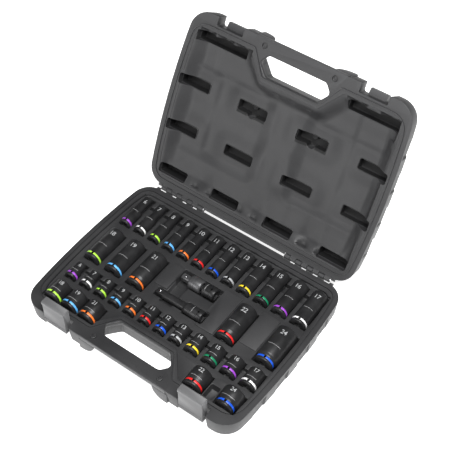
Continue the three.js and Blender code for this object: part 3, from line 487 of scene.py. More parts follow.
def numeral(text, height, name):
    """The number as a thin solid, sliced finely enough to bend."""
    curve = bpy.data.curves.new(name, "FONT")
    curve.body = text
    curve.align_x, curve.align_y = "CENTER", "CENTER"
    curve.size = height * 1.58 * MM
    curve.extrude = 0.06 * MM
    curve.offset = 0.06 * MM
    curve.space_character = 0.92
    curve.resolution_u = 3
    holder = new_object(name, curve)
    bpy.context.view_layer.update()
    mesh = bpy.data.meshes.new_from_object(holder.evaluated_get(bpy.context.evaluated_depsgraph_get()))
    bpy.data.objects.remove(holder)
    bm = bmesh.new()
    bm.from_mesh(mesh)
    bmesh.ops.remove_doubles(bm, verts=bm.verts, dist=1e-6)
    for i in range(-SLICES, SLICES + 1):
        everything = bm.verts[:] + bm.edges[:] + bm.faces[:]
        bmesh.ops.bisect_plane(bm, geom=everything, plane_co=(i * SLICE_WIDTH * MM, 0, 0), plane_no=(1, 0, 0))
    bmesh.ops.triangulate(bm, faces=bm.faces)
    bm.to_mesh(mesh)
    bm.free()
    return new_object(name, mesh)


def size_line(radius, name):
    """The printed ring segment beside the number, spanning the top of the socket."""
    half_angle, half_width_mm, thick, steps = math.radians(36), 0.27, 0.05, 14
    rings = []
    for i in range(steps + 1):
        x = radius * half_angle * (2 * i / steps - 1)
        rings.append([(x, y, z) for y, z in ((-half_width_mm, 0), (half_width_mm, 0), (half_width_mm, thick),
                                              (-half_width_mm, thick))])
    return stack(name, rings)


def moved(obj, x, y, z):
    obj.data.transform(Matrix.Translation(Vector((x, y, z)) * MM))
    return obj


def build_socket(node, s):
    profile, nose = socket_profile(s)
    size, length = s["size"], s["length"]
    drive = DRIVE_NECK.get(size, 2 * s["radius"]) / 2
    body = turned(node + "_body", profile, AROUND, "y")
    half = DRIVE_SQUARE / 2
    square = [(-half, -half), (half, -half), (half, half), (-half, half)]
    widening = ((-1, 1.16), (0.1, 1.1), (0.9, 1), (DRIVE_DEPTH, 1))
    flare = [[(x * k, y, z * k) for x, z in square] for y, k in widening]
    hex_radius = (size + 0.15) / 2 / math.cos(math.pi / 6)
    hex_depth = length - DRIVE_DEPTH - (8 if s["kind"] == "deep" else 4)
    mouth = length - 1.3
    hexagon = turned("cutter", [(length - hex_depth, hex_radius), (length + 1, hex_radius)], 6, "y")
    cone = turned("cutter", [(mouth, hex_radius * 0.9), (length + 0.3, hex_radius + 0.45)], 32, "y")
    passage_radius = min(3.6, size / 2 - 0.5)
    passage = turned("cutter", [(DRIVE_DEPTH - 1, passage_radius), (length - hex_depth + 1, passage_radius)],
                     20, "y")
    pin = turned("cutter", [(0, PIN_HOLE_RADIUS), (drive + 2, PIN_HOLE_RADIUS)], 18, "z", (0, PIN_HOLE_AT, 0))
    cut(body, stack("cutter", flare), hexagon, cone, passage, pin)
    coat = [(BAND_FROM + 0.05, drive - 0.12), (BAND_FROM + 0.3, drive - 0.02), (BAND_TO - 0.3, drive - 0.02),
            (BAND_TO - 0.05, drive - 0.12)]
    band = turned(node + "_band", coat, AROUND, "y")
    hollow = turned("cutter", [(0, drive - 0.46), (length, drive - 0.46)], AROUND, "y")
    pin = turned("cutter", [(0, PIN_HOLE_RADIUS + 0.15), (drive + 2, PIN_HOLE_RADIUS + 0.15)], 18, "z",
                 (0, PIN_HOLE_AT, 0))
    cut(band, hollow, pin)
    deep = s["kind"] == "deep"
    face = nose if size in NOSE else s["radius"]
    text = wrapped(numeral(str(size), 6.4 if deep else 5.4, node + "_number"), face)
    moved(text, 0, length - 12.4 if deep else length - 6.4, 0)
    line = wrapped(size_line(s["radius"], node + "_line"), s["radius"])
    moved(line, 0, 27.6 if deep else 12.6, 0)
    for obj, material, slot in ((body, STEEL, "black_steel"), (band, BANDS[BAND_OF[size]], "band_colour"),
                                (text, PAINT, "numeral_paint"), (line, ETCHED, "numeral_paint")):
        smooth(obj, 35)
        moved(obj, s["x"], s["y"], AXIS)
        dress(obj, material, node)
    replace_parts(body, node)


for node, s in sockets.items():
    build_socket(node, s)

# ---- Half shells ----
def half_shell(name, height):
    """A half with its rim plane at z = 0 and its body below."""
    corners = body_corners()
    rings = [layer(corners, -height + EDGE_ROUND * (1 - math.cos(k / 5 * math.pi / 2)),
                   DRAFT + EDGE_ROUND * (1 - math.sin(k / 5 * math.pi / 2))) for k in range(6)]
    rings += [layer(corners, z, inset) for z, inset in ((-SOFT_EDGE, 0.05), (-0.3, 0.2), (0, 0.6))]
    body = stack(name, rings)
    plate = rounded_bar()
    join(body, plate, *[ear(height, side) for side in (-1, 1)])
    cut(body, handle_opening(height))
    cut(body, *side_recesses(height))
    return body


def rounded_bar():
    """The handle's plate, with a rounded front edge."""
    r = 2.6
    top, low = 0.0, -HANDLE_THICK
    front, back = from_front(0), from_front(HANDLE_BACK_Y + 2)
    arc = [(front + 0.8 * (1 - math.cos(a)), top - 0.8 * (1 - math.sin(a)))
           for a in (0.0, 0.5, 1.0, math.pi / 2)]
    under = [(front + r * (1 - math.sin(a)), low + r * (1 - math.cos(a)))
             for a in (0.0, 0.4, 0.8, 1.2, math.pi / 2)]
    outline = under + arc + [(back, top), (back, low)]
    return prism_x(outline, -EAR_HALF - 1, EAR_HALF + 1)


def ear(height, side):
    """The rounded shoulder between the bar and the full-height body."""
    rise = height - HANDLE_THICK
    arc = [(side * (EAR_HALF - EAR_REACH * math.sin(a)), -HANDLE_THICK - rise * math.cos(a))
           for a in (k / 10 * math.pi / 2 for k in range(11))]
    outline = [(side * (EAR_HALF - EAR_REACH), -HANDLE_THICK + 1), (side * (EAR_HALF + 4), -HANDLE_THICK + 1),
               (side * (EAR_HALF + 4), -height + 0.4)] + arc
    front = from_front(0.05)
    back = from_front(HANDLE_BAR - 5)
    obj = prism_y(outline, front, back)
    bevel = obj.modifiers.new("bevel", "BEVEL")
    bevel.width = 1.6 * MM
    bevel.segments = 3
    bevel.limit_method = "ANGLE"
    bevel.angle_limit = math.radians(50)
    evaluated(obj)
    return obj


def handle_opening(height):
    corners = mirrored([
        (HANDLE_FRONT_HALF, from_front(HANDLE_BAR), 9), (HANDLE_WIDE_HALF, from_front(HANDLE_WIDE_Y), 7),
        (HANDLE_BACK_HALF, from_front(HANDLE_BACK_Y), 7)])
    rings = [layer(corners, z, -grow) for z, grow in (
        (-height - 1, 2.6), (-HANDLE_THICK - 0.2, 2.6), (-HANDLE_THICK + 0.9, 0.9), (-HANDLE_THICK + 2.4, 0),
        (-1.6, 0), (-0.6, 0.35), (-0.1, 1.1), (1, 1.3))]
    return stack("cutter", rings)


RIBS, RIB_PITCH, RIB_LENGTH, RIB_DEPTH, RIM_BAND = 4, 52.3, 19.0, 3.0, 5.0


def side_recesses(height):
    """Cutters for the hollows between the ribs, below the band along the rim."""
    cutters = []
    half = (RIB_PITCH - RIB_LENGTH) / 2
    for rib in range(RIBS):
        middle = DEPTH / 2 + (rib - (RIBS - 1) / 2) * RIB_PITCH
        wall = half_width(middle)
        bottom = wall - RIB_DEPTH - 1.0
        for side in (-1, 1):
            outline = [(side * bottom, from_front(middle - half + 4), 1.5),
                       (side * (wall + 6), from_front(middle - half - 3), 0),
                       (side * (wall + 6), from_front(middle + half + 3), 0),
                       (side * bottom, from_front(middle + half - 4), 1.5)]
            if side < 0:
                outline.reverse()
            points = outline_of(outline, 0, 4)
            cutters.append(prism_z(points, -height - 1, -RIM_BAND))
    return cutters


def soft_well(corners, z_low, z_top, above):
    """A cutter with its mouth rounded over at z_top."""
    levels = [(z_low, 0.8), (z_low + 0.3, 0.2), (z_low + 1.0, 0.0), (z_top - 1.0, 0.0), (z_top - 0.45, -0.15),
              (z_top - 0.12, -0.45), (z_top, -0.95), (above, -0.95)]
    return stack("cutter", [layer(corners, z, inset) for z, inset in levels])


def lip_ring(outer, inner, z0, z1):
    ring = stack("cutter", [layer(inner_corners(outer), z) for z in (z0, z1)])
    return cut(ring, stack("cutter", [layer(inner_corners(inner), z) for z in (z0 - 1, z1 + 1)]))


def soft_pocket(x0, x1, y0, y1, floor, mouth, radius=2.0, above=RIM + ABOVE):
    """A rounded rectangular pocket whose mouth is rolled over at the deck."""
    levels = [(floor, -1.2), (floor + 0.35, -0.5), (floor + 1.2, 0), (mouth - 0.9, 0), (mouth - 0.35, 0.18),
              (mouth - 0.08, 0.5), (mouth, 0.95), (above, 0.95)]
    rings = [[(x, y, z) for x, y in rounded_rect(x0, x1, y0, y1, radius, grow)] for z, grow in levels]
    return stack("cutter", rings)


def cradle(s, deck):
    """The half-round bed and straight sides that hold one socket, then its rolled mouth."""
    radius = s["radius"] + POCKET_SIDE
    y0, y1 = s["y"] - POCKET_END, s["y"] + s["length"] + POCKET_END
    steps = 20
    angles = [math.pi + k / steps * math.pi for k in range(steps + 1)]
    bed = [(s["x"] + radius * math.cos(a), AXIS + radius * math.sin(a)) for a in angles]
    outline = bed + [(s["x"] + radius, RIM + ABOVE), (s["x"] - radius, RIM + ABOVE)]
    bed_cut = prism_y(outline, y0, y1)
    mouth = soft_pocket(s["x"] - radius, s["x"] + radius, y0, y1, deck - 1.8, deck, 0.8)
    return bed_cut, mouth


def in_rows(pieces):
    return sorted(pieces, key=lambda s: (round(s["y"]), s["x"]))


def in_two_sets(objects):
    """Every other object merged, so that neighbours never share a cutter."""
    return [merged(objects[0::2])] + ([merged(objects[1::2])] if len(objects) > 1 else [])


# Flat raised panels of the tray: left and right edge, then near and far edge measured from the case's front.
RAISED_PANELS = [(-52, -29.5, 137, 180), (41, 70, 112, 186), (107, 135, 125, 186)]


def build_base():
    deck = AXIS
    base = half_shell("base_half", RIM)
    moved(base, 0, 0, RIM)
    cut(base, soft_well(inner_corners(0), deck, RIM, RIM + 5))
    cut(base, lip_ring(LIP_OUT, LIP_OUT - 1.8, RIM - 1.6, RIM + 1))
    for x0, x1, y0, y1 in RAISED_PANELS:
        rings = [[(x, y, z) for x, y in rounded_rect(x0, x1, from_front(y0), from_front(y1), 1.5, grow)]
                 for z, grow in ((deck - 1, 0.5), (deck + 0.7, 0.35), (deck + 1.3, 0.0), (deck + 1.5, -0.5))]
        join(base, stack("cutter", rings))
    beds, mouths = zip(*[cradle(s, deck) for s in in_rows(sockets.values())])
    cut(base, *in_two_sets(list(beds)), *in_two_sets(list(mouths)))
    cut(base, *accessory_pockets(deck), *finger_troughs(deck))
    for side in (-1, 1):
        place = (side * PEG_X, from_front(PEG_Y), 0)
        stud = [(RIM - 1, PEG_RADIUS), (RIM + 1.4, PEG_RADIUS), (RIM + 1.95, PEG_RADIUS - 0.3),
                (RIM + 2.2, PEG_RADIUS - 0.9)]
        peg = turned("cutter", stud, 32, "z", place)
        dimple = turned("cutter", [(RIM + 0.9, PEG_RADIUS - 2.4), (RIM + 1.5, PEG_RADIUS - 1.9),
                                   (RIM + 3, PEG_RADIUS - 1.7)], 24, "z", place)
        join(base, peg)
        cut(base, dimple)
    return base


def accessory_pockets(deck):
    extension_low, extension_high = (Vector(v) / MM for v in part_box("extension_bar"))
    swivel_low, male_high = (Vector(v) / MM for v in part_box("swivel_male_half"))
    swivel_high = Vector(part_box("swivel_socket_half")[1]) / MM
    ext_y = (extension_low.y + extension_high.y) / 2
    swivel_y = (swivel_low.y + male_high.y) / 2
    head = extension_high.x - HEAD_LENGTH - 4
    recess_left, recess_right = extension_low.x + 12, extension_low.x + 34

    def along_x(x0, x1, y, half):
        return soft_pocket(x0, x1, y - half, y + half, AXIS - half, deck)

    return [
        along_x(extension_low.x - 2, head + 1, ext_y, BAR_RADIUS + ACCESSORY_SIDE),
        along_x(head, extension_high.x + 4, ext_y, HEAD_RADIUS + ACCESSORY_SIDE),
        along_x(swivel_low.x - 4, swivel_high.x + 5, swivel_y, SWIVEL_RADIUS + SWIVEL_SIDE),
        soft_pocket(recess_left, recess_right, ext_y - 12, swivel_y, AXIS - 11, deck),
    ]


LEAST_LARGE = 18  # sizes from here on lie outside the two long rows


def finger_troughs(deck):
    """Troughs across the two long rows for the fingers, and the hollow between the two front sockets."""
    made = []
    for kind, start, stop, below in (("deep", 36, 53, 10), ("shallow", 15.5, 24.5, 8)):
        row = in_rows(s for s in sockets.values() if s["kind"] == kind and s["size"] < LEAST_LARGE)
        first, last = row[0], row[-1]
        y0, y1 = first["y"] + start, first["y"] + stop
        made.append(soft_pocket(first["x"], last["x"], y0, y1, deck - below, deck, 1.5))
    left, right = sockets["socket_shallow_22"], sockets["socket_shallow_24"]
    made.append(soft_pocket(left["x"] + left["radius"] + 2.8, right["x"] - right["radius"] - 2.8,
                            from_front(TRAY_FRONT + 2), from_front(TRAY_FRONT + 24), deck - 13, deck))
    return made


# ---- Hinge knuckles ----
KNUCKLES, HINGE_START, HINGE_LENGTH, BARREL = 8, 75.0, 79.0, 3.8


def knuckle_set(first, bracket):
    length = HINGE_LENGTH / KNUCKLES
    made = []
    for side in (-1, 1):
        for i in range(first, KNUCKLES, 2):
            start = HINGE_START + i * length + 0.15
            x0, x1 = (start, start + length - 0.3) if side > 0 else (-start - length + 0.3, -start)
            profile = [(x0, BARREL - 0.5), (x0 + 0.5, BARREL), (x1 - 0.5, BARREL), (x1, BARREL - 0.5)]
            barrel = turned("cutter", profile, 28, "x", (0, HINGE_Y, HINGE_Z))
            made.append(join(barrel, prism_x(bracket, x0, x1)))
    made = merged(made)
    for side in (-1, 1):
        a, b = sorted((side * (HINGE_START - 1), side * (HINGE_START + HINGE_LENGTH + 1)))
        cut(made, turned("cutter", [(a, 1.58), (b, 1.58)], 24, "x", (0, HINGE_Y, HINGE_Z)))
    return made


def base_bracket():
    slope = math.radians(OPEN_DEG - 90)

    def stop_top(y):
        return HINGE_Z + (HINGE_BACK - 0.4) / math.cos(slope) - (y - HINGE_Y) * math.tan(slope)

    near, far = HINGE_Y + 3.9, HINGE_Y + 11.5
    return [(BACK - 3, RIM - 12), (BACK - 0.2, RIM - 12), (HINGE_Y + 2, HINGE_Z - 6.5), (far, HINGE_Z - 5),
            (far, stop_top(far)), (near, stop_top(near)), (HINGE_Y + 1.5, HINGE_Z + 1), (HINGE_Y, HINGE_Z),
            (BACK - 0.2, RIM - 0.4), (BACK - 3, RIM - 0.4)]


def lid_bracket():
    return [(BACK - 3, RIM + 0.4), (BACK - 0.4, RIM + 0.4), (HINGE_Y - 1.5, HINGE_Z - 3),
            (HINGE_Y + 2.6, HINGE_Z + 2.4), (BACK - 0.4, RIM + 13), (BACK - 3, RIM + 13)]


def back_flange(bottom):
    """Lips along the back edge, between and beside the knuckles, with eased corners."""
    inner = HINGE_START - 1
    outer = HINGE_START + HINGE_LENGTH + 1
    top, edge = bottom + FLANGE_THICK, BACK + FLANGE_REACH
    outline = [(BACK - 1, bottom), (edge - 0.5, bottom), (edge, bottom + 0.5), (edge, top - 0.5),
               (edge - 0.5, top), (BACK - 1, top)]
    spans = ((-inner, inner), (outer, outer + FLANGE_LENGTH), (-outer - FLANGE_LENGTH, -outer))
    return merged([prism_x(outline, x0, x1) for x0, x1 in spans])


base = build_base()
join(base, knuckle_set(0, base_bracket()), back_flange(RIM - FLANGE_THICK))
smooth(base)
dress(base, CASE, "base")
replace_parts(base, "base_shell", *[node for node in frame["nodes"] if node.startswith("tray_")])

# ---- Lid ----
PANEL_DEPTH, PANEL_CLEARANCE, PANEL_FADE, PANEL_REACH = 7.0, 2.4, 26.0, 22.0
PANEL_EASE, PANEL_SWELL, SHUT_CLEARANCE = 21.0, 2.6, 1.0
PITS = [  # distance from the middle, distance from the front, length, width, radius of the bulge
    (127, 37.8, 83, 15, 0), (152.8, 110, 49, 15.5, 0), (51.5, 110, 49, 15.5, 7), (152.8, 184, 49, 15.5, 0),
    (51.5, 184, 49, 15.5, 0), (144, 255, 48, 14.5, 0), (48, 255, 48, 14.5, 0)]
EACH_PIT = [(side * x, *rest) for x, *rest in PITS for side in (-1, 1)]


def panel_height(x, y):
    """Height of the lid's inner panel over the rim: it rises over the tall sockets."""
    height = PANEL_DEPTH
    for s in sockets.values():
        needed = s["radius"] - DECK_DROP + PANEL_CLEARANCE
        dx = max(abs(x - s["x"]) - s["radius"] - PANEL_REACH, 0)
        dy = max(s["y"] - PANEL_REACH - y, y - s["y"] - s["length"] - PANEL_REACH, 0)
        near = max(1 - math.hypot(dx, dy) / PANEL_FADE, 0)
        height = max(height, PANEL_DEPTH + (needed - PANEL_DEPTH) * near * near * (3 - 2 * near))
    return height


def over_sockets(x, y):
    """Least height that keeps the shut lid off the sockets."""
    height = 0.0
    for s in sockets.values():
        radius = s["radius"] + SHUT_CLEARANCE
        aside = abs(x - s["x"])
        if aside < radius and s["y"] - 2 < y < s["y"] + s["length"] + 2:
            height = max(height, math.sqrt(radius ** 2 - aside ** 2) - DECK_DROP)
    return height


def panel_swell(x, y):
    """The panel sinks a little between the pits, as a blow-moulded skin does."""
    rise = PANEL_SWELL
    for px, py, length, width, _ in EACH_PIT:
        away = math.hypot(max(abs(x - px) - length / 2, 0), max(abs(y - from_front(py)) - width / 2, 0))
        rise = min(rise, PANEL_SWELL * ease(away / PANEL_FADE))
    return rise


def ease(t):
    t = min(max(t, 0), 1)
    return t * t * (3 - 2 * t)


def distance_inside(x, y, boundary):
    """How far a point lies inside a closed outline, or 0 outside it."""
    best, inside = 1e9, False
    for (x0, y0), (x1, y1) in zip(boundary, boundary[1:] + boundary[:1]):
        dx, dy = x1 - x0, y1 - y0
        t = min(max(((x - x0) * dx + (y - y0) * dy) / (dx * dx + dy * dy + 1e-9), 0), 1)
        best = min(best, math.hypot(x - x0 - t * dx, y - y0 - t * dy))
        if (y0 > y) != (y1 > y) and x < x0 + (y - y0) * dx / dy:
            inside = not inside
    return best if inside else 0.0


def under_panel():
    columns, rows = 126, 96
    boundary = outline_of(inner_corners(0), 0, 4)
    width, depth = CASE_WIDTH + 10, DEPTH + 10

    def height_at(x, y):
        edge = ease(distance_inside(x, y, boundary) / PANEL_EASE)
        return max(0.9 + (panel_height(x, y) + panel_swell(x, y) - 0.9) * edge, over_sockets(x, y))

    across = [(i / columns - 0.5) * width for i in range(columns + 1)]
    along = [from_front(DEPTH / 2) + (j / rows - 0.5) * depth for j in range(rows + 1)]
    floor = [(x, y, RIM - 3) for y in along for x in across]
    vertices = floor + [(x, y, RIM + height_at(x, y)) for y in along for x in across]
    faces = []
    span = columns + 1
    top = span * (rows + 1)
    for j in range(rows):
        for i in range(columns):
            a = j * span + i
            faces.append((a, a + span, a + span + 1, a + 1))
            faces.append((a + top, a + 1 + top, a + span + 1 + top, a + span + top))
    edge = [i for i in range(columns)] + [columns + j * span for j in range(rows)]
    edge += [rows * span + columns - i for i in range(columns)] + [(rows - j) * span for j in range(rows)]
    for k, a in enumerate(edge):
        b = edge[(k + 1) % len(edge)]
        faces.append((a, b, b + top, a + top))
    return mesh_from("cutter", vertices, faces)


BEAD_HEIGHT, BEAD_WIDTH, PIT_CORNER = 0.7, 1.5, 2.6
PIT_STUB = 3.5  # centre of the stub in the bulged pits, from their front wall


def pit_solid(x, y, length, width, bulge, levels):
    """A pit's outline through (z, grow) levels, with the round bulge that some pits have."""
    x0, x1 = x - length / 2, x + length / 2
    y0, y1 = from_front(y) - width / 2, from_front(y) + width / 2
    rings = [[(px, py, z) for px, py in rounded_rect(x0, x1, y0, y1, PIT_CORNER, grow, 5)]
             for z, grow in levels]
    solid = stack("cutter", rings)
    if bulge:
        join(solid, turned("cutter", [(z, bulge + grow) for z, grow in levels], 32, "z", (x, y1 - 2, 0)))
    return solid


def pit_bead(x, y, length, width, bulge):
    """The thin raised rim round one pit, solid until the pit is cut through it."""
    mouth = RIM + panel_height(x, from_front(y))
    levels = [(mouth - BEAD_HEIGHT, BEAD_WIDTH - 0.5), (mouth - 0.35, BEAD_WIDTH - 0.1), (mouth, BEAD_WIDTH),
              (mouth + 4, BEAD_WIDTH)]
    return pit_solid(x, y, length, width, bulge, levels)


def darken_pits(lid):
    """The walls and floors of the pits take a darker plastic, which is painted shade: the real lid is one
    plastic, and its pits are dark from shadow.
    """
    lid.data.materials.append(PIT_SHADE)
    for face in lid.data.polygons:
        place = face.center / MM
        for x, y, length, width, bulge in PITS:
            away_x = abs(abs(place.x) - x) - length / 2
            away_y = abs(place.y - from_front(y) - bulge / 4) - width / 2 - bulge / 4
            if away_x < 0.05 and away_y < 0.05 and place.z > RIM + 1.2:
                face.material_index = 1


def lid_pit(x, y, length, width, bulge):
    mouth = RIM + panel_height(x, from_front(y))
    deep = RIM + LID_HEIGHT - WALL
    levels = [(RIM - 1, 0.5), (mouth - BEAD_HEIGHT, 0.5), (mouth - 0.4, 0.15), (mouth, 0), (deep - 1.4, -0.3),
              (deep - 0.4, -0.8), (deep, -1.6)]
    pit = pit_solid(x, y, length, width, bulge, levels)
    if bulge:
        profile = [(deep - 6, bulge - 3.2), (deep - 5, bulge - 2.4), (deep + 0.5, bulge - 2)]
        cut(pit, turned("cutter", profile, 28, "z", (x, from_front(y) - width / 2 + PIT_STUB, 0)))
    return pit


def shut_room(s):
    """The space that one socket needs in the shut lid."""
    radius = s["radius"] + POCKET_SIDE
    span = [(-POCKET_END, radius), (s["length"] + POCKET_END, radius)]
    return turned("cutter", span, 40, "y", (s["x"], s["y"], AXIS))


def build_lid():
    lid = half_shell("lid_half", LID_HEIGHT)
    lid.data.transform(Matrix.Scale(-1, 4, Vector((0, 0, 1))))
    lid.data.flip_normals()
    moved(lid, 0, 0, RIM + 0.3)
    squeeze = Matrix.Scale((LID_HEIGHT - 0.3) / LID_HEIGHT, 4, Vector((0, 0, 1)))
    to_rim = Matrix.Translation((0, 0, RIM * MM))
    lid.data.transform(to_rim @ squeeze @ to_rim.inverted())
    well = stack("cutter", [layer(inner_corners(0), z, inset) for z, inset in (
        (RIM - 2, -0.95), (RIM + 0.3, -0.95), (RIM + 0.42, -0.45), (RIM + 0.75, -0.15), (RIM + 1.3, 0),
        (RIM + LID_HEIGHT - WALL, 0))])
    cut(lid, combine(under_panel(), well, "INTERSECT"))
    join(lid, merged([pit_bead(*shape) for shape in EACH_PIT]))
    cut(lid, merged([lid_pit(*shape) for shape in EACH_PIT]))
    join(lid, lip_ring(LIP_OUT - 0.3, LIP_OUT - 1.5, RIM - 1.1, RIM + 1), knuckle_set(1, lid_bracket()),
         back_flange(RIM + 0.3))
    top = RIM + LID_HEIGHT - 1.8
    back, front = from_front(NOTCH_DEPTH + DRAFT + EDGE_ROUND), from_front(NOTCH_DEPTH - 7.5)
    catch = [(back, top - 13), (front, top - 8), (front, top - 2), (front + 0.6, top - 0.6), (front + 2, top),
             (back, top)]
    peg_hole = [(RIM - 1, PEG_HOLE), (RIM + 2.6, PEG_HOLE), (RIM + 3.2, PEG_HOLE - 1)]
    for side in (-1, 1):
        join(lid, prism_x(catch, side * LATCH_X - 14, side * LATCH_X + 14))
        cut(lid, turned("cutter", peg_hole, 32, "z", (side * PEG_X, from_front(PEG_Y), 0)))
    cut(lid, *in_two_sets([shut_room(s) for s in in_rows(sockets.values())]))
    dress(lid, CASE, "lid")
    # Painted shade: the pits' faces get the near-black plastic
    darken_pits(lid)
    hinge = Matrix.Translation(Vector((0, HINGE_Y, HINGE_Z)) * MM)
    lid.data.transform(hinge @ Matrix.Rotation(math.radians(-OPEN_DEG), 4, "X") @ hinge.inverted())
    smooth(lid)
    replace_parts(lid, "lid_shell", "lid_panel")


build_lid()

# ---- Latches ----
def build_latch(side, word):
    x0, x1 = side * LATCH_X - LATCH_WIDTH / 2, side * LATCH_X + LATCH_WIDTH / 2
    low, high = (Vector(v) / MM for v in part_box("latch_" + word))
    front, back, foot, top = low.y, high.y, low.z, high.z
    shape = [(front + 1, foot), (back - 3, foot), (back, foot + 3), (back, top - 1.2), (back - 1.2, top),
             (front + 1.6, top), (front, top - 1.4), (front, top - 5.6), (front + 1.3, top - 7.2),
             (front + 1.5, (top + foot) / 2), (front + 0.7, foot + 11), (front + 0.2, foot + 9.6)]
    shape += [(front + 1.9, foot + 9), (front + 1.9, foot + 7.8), (front + 0.3, foot + 7),
              (front + 0.3, foot + 5.4), (front + 1.8, foot + 4.8), (front + 1.8, foot + 4),
              (front + 0.3, foot + 3.2)]
    latch = prism_x(shape, x0, x1, "latch_piece_" + word)
    hollow = [(front + 3.2, foot - 1), (back + 1, foot - 1), (back + 1, top - 3.2), (front + 3.2, top - 3.2)]
    cut(latch, prism_x(hollow, x0 + 3, x1 - 3))
    pivot = (0, from_front(LATCH_PIVOT_Y), RIM - LATCH_PIVOT_DROP)
    cut(latch, turned("cutter", [(x0 - 1, LATCH_BORE), (x1 + 1, LATCH_BORE)], 24, "x", pivot))
    bevel = latch.modifiers.new("bevel", "BEVEL")
    bevel.width = 0.35 * MM
    bevel.segments = 3
    bevel.limit_method = "ANGLE"
    bevel.angle_limit = math.radians(40)
    evaluated(latch)
    smooth(latch)
    dress(latch, LATCH, "latch_" + word)
    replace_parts(latch, "latch_" + word)


for side, word in ((-1, "left"), (1, "right")):
    build_latch(side, word)

# ---- Extension, swivel and pins ----
def square_end(length, x0, y, z):
    """The male square: chamfered along its edges and at its tip."""
    half, corner = DRIVE_HALF, DRIVE_CHAMFER
    outline = [(-half + corner, -half), (half - corner, -half), (half, -half + corner), (half, half - corner),
               (half - corner, half), (-half + corner, half), (-half, half - corner), (-half, -half + corner)]
    levels = ((0, 0.82), (0.5, 0.9), (1.4, 1.0), (length, 1.0))
    return stack("square", [[(x0 + x, y + u * k, z + v * k) for u, v in outline] for x, k in levels])


def square_hole(x_end, depth, y, z):
    half = DRIVE_SQUARE / 2
    outline = [(-half, -half), (half, -half), (half, half), (-half, half)]
    levels = ((-depth, 1.0), (-0.9, 1.0), (0.1, 1.12), (1.0, 1.2))
    return stack("cutter", [[(x_end + x, y + u * k, z + v * k) for u, v in outline] for x, k in levels])


def arc_of(centre, radius, degrees):
    """Profile points round a centre on the axis, by angle from the middle."""
    angles = [math.radians(d) for d in degrees]
    return [(centre + radius * math.sin(a), radius * math.cos(a)) for a in angles]


def ball_seat(x, y, z):
    low, radius = z + DRIVE_HALF + BALL_PROUD - 3.5, BALL_RADIUS + 0.15
    return turned("cutter", [(low, radius), (z + 8, radius)], 24, "z", (x, y, 0))


def ball(name, x, y, z, body):
    """A detent ball, a little proud of the square."""
    centre = z + DRIVE_HALF + BALL_PROUD - BALL_RADIUS
    profile = arc_of(centre, BALL_RADIUS, range(-80, 81, 16))
    piece = smooth(turned(name, profile, 28, "z", (x, y, 0)))
    return dress(piece, BRIGHT, body)


def pin_hole(x, y, z, radius, top):
    return turned("cutter", [(z, radius), (z + top, radius)], 22, "z", (x, y, 0))


def etched_ring(radius, x, y, z, body, name):
    line = wrapped(size_line(radius, name), radius)
    line.data.transform(Matrix.Rotation(math.radians(-90), 4, "Z"))
    moved(line, x, y, z)
    dress(smooth(line), ETCHED, body)


def build_extension():
    low, high = (Vector(v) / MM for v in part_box("extension_bar"))
    x0, x1, y, z = low.x, high.x, (low.y + high.y) / 2, AXIS
    bar, head, head_start = BAR_RADIUS, HEAD_RADIUS, high.x - HEAD_LENGTH
    profile = [(x0 + 11, 5.2), (x0 + 12, 5.6), (x0 + 14, bar), (head_start - 5, bar),
               (head_start - 4, bar + 0.15), (head_start - 1, head - 0.5), (head_start, head - 0.1),
               (head_start + 0.8, head), (x1 - 8.2, head), (x1 - 8.0, head - 0.6), (x1 - 6.4, head - 0.6),
               (x1 - 6.2, head), (x1 - 1.4, head), (x1 - 0.4, head - 0.45), (x1, head - 1.1)]
    seat = ball_seat(x0 + BALL_FROM_TIP, y, z)
    body = turned("extension_piece", profile, 64, "x", (0, y, z))
    join(body, square_end(14, x0, y, z))
    cut(body, square_hole(x1, DRIVE_DEPTH, y, z), seat, pin_hole(x1 - 7.3, y, z, 1.7, head + 2))
    smooth(body, 35)
    dress(body, STEEL, "extension")
    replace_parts(body, "extension_bar")
    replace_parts(ball("extension_detent", x0 + BALL_FROM_TIP, y, z, "extension"), "extension_ball")
    etched_ring(head, x1 - 17, y, z, "extension", "extension_line")


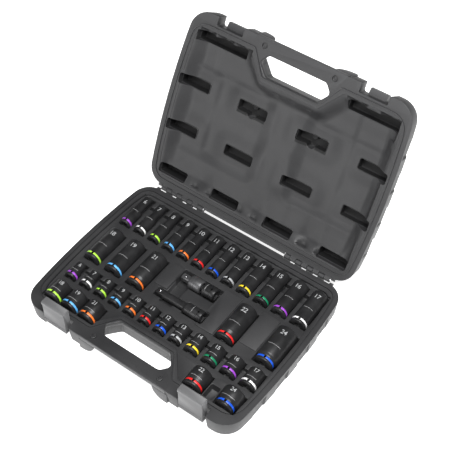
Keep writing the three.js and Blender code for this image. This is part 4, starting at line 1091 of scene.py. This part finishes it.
def build_swivel():
    low, high = (Vector(v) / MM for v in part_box("swivel_male_half"))
    x0, y, z = low.x, (low.y + high.y) / 2, AXIS
    start, end = x0 + 16, x0 + 36
    outer = SWIVEL_RADIUS
    profile = [(start - 3, 5.2), (start - 0.6, outer - 1.5), (start + 0.2, outer - 0.5), (start + 1.1, outer),
               (start + 8.4, outer), (start + 8.7, outer - 0.5), (start + 9.6, outer - 0.5),
               (start + 9.9, outer), (end - 2.4, outer), (end - 1.6, outer - 0.25), (end - 0.5, outer - 0.9),
               (end, outer - 1.5)]
    body = turned("swivel_drive_piece", profile, 64, "x", (0, y, z))
    join(body, square_end(16, x0, y, z))
    room, centre = 7.6, end - 9
    dome = arc_of(centre, room, (-80, -60, -40, -20)) + [(centre, room), (end + 1, room)]
    cut(body, turned("cutter", dome, 40, "x", (0, y, z)), ball_seat(x0 + BALL_FROM_TIP, y, z))
    smooth(body, 35)
    dress(body, GREY_STEEL, "swivel_drive")
    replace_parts(body, "swivel_male_half")
    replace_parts(ball("swivel_detent", x0 + BALL_FROM_TIP, y, z, "swivel_drive"), "swivel_ball")
    driven, seam = DRIVEN_RADIUS, end + 1.9
    tail = end + 24
    knob = arc_of(centre, 7, range(-76, 41, 13)) + [(centre + 5.6, 5.1), (seam + 3, 5.1)]
    profile = [(seam, driven - 2.8), (seam + 0.9, driven - 1.3), (seam + 2.0, driven - 0.3),
               (seam + 3, driven), (tail - 8.4, driven), (tail - 8.2, driven - 0.6),
               (tail - 6.6, driven - 0.6), (tail - 6.4, driven), (tail - 1.5, driven),
               (tail - 0.5, driven - 0.4), (tail, driven - 1.1)]
    piece = turned("swivel_driven_piece", profile, 64, "x", (0, y, z))
    join(piece, turned("cutter", knob, 40, "x", (0, y, z)))
    cut(piece, square_hole(tail, DRIVE_DEPTH, y, z), pin_hole(tail - 7.5, y, z, 1.7, driven + 2))
    smooth(piece, 35)
    dress(piece, STEEL, "swivel_driven")
    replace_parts(piece, "swivel_socket_half")
    etched_ring(driven, seam + 5.5, y, z, "swivel_driven", "swivel_line")


def build_pins():
    """Hinge and latch pins: fine rods with rounded ends."""
    for node in frame["nodes"]:
        if "_pin_" not in node:
            continue
        low, high = (Vector(v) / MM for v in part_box(node))
        radius = (high.z - low.z) / 2
        profile = [(low.x, radius - 0.4), (low.x + 0.12, radius - 0.15), (low.x + 0.4, radius),
                   (high.x - 0.4, radius), (high.x - 0.12, radius - 0.15), (high.x, radius - 0.4)]
        middle = (0, (low.y + high.y) / 2, (low.z + high.z) / 2)
        rod = smooth(turned(node + "_rod", profile, 32, "x", middle))
        dress(rod, BRIGHT, "base")
        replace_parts(rod, node)


build_extension()
build_swivel()
build_pins()


# ---- Studio ----
FLOOR_HALF, FLOOR_DROP = 4000.0, 0.2
LIGHTS = (  # name, place in metres, size, power
    ("key", (0.45, -0.3, 1.5), 0.9, 46),
    ("fill", (-0.7, -1.7, 0.55), 1.1, 19),
)
LIT_POINT = Vector((0, 0.05, 0.05))


def studio():
    far, drop = FLOOR_HALF, -FLOOR_DROP
    corners = [(-far, -far, drop), (far, -far, drop), (far, far, drop), (-far, far, drop)]
    floor = mesh_from("floor", corners, [(0, 1, 2, 3)])
    material, _, _, principled = shader("floor_white", 0.9)
    principled.inputs["Base Color"].default_value = (0.9, 0.9, 0.9, 1)
    principled.inputs["Emission Color"].default_value = (1, 1, 1, 1)
    principled.inputs["Emission Strength"].default_value = 0.85
    floor.data.materials.append(material)
    world = bpy.data.worlds.new("studio")
    world.use_nodes = True
    world.node_tree.nodes["Background"].inputs["Color"].default_value = (1, 1, 1, 1)
    world.node_tree.nodes["Background"].inputs["Strength"].default_value = 0.03
    bpy.context.scene.world = world
    for name, place, size, power in LIGHTS:
        data = bpy.data.lights.new(name, "AREA")
        data.size = size
        data.energy = power
        light = bpy.data.objects.new(name, data)
        light.location = place
        light.rotation_euler = (LIT_POINT - Vector(place)).to_track_quat("-Z", "Y").to_euler()
        bpy.context.scene.collection.objects.link(light)
    bpy.context.scene.view_settings.view_transform = "Standard"


studio()
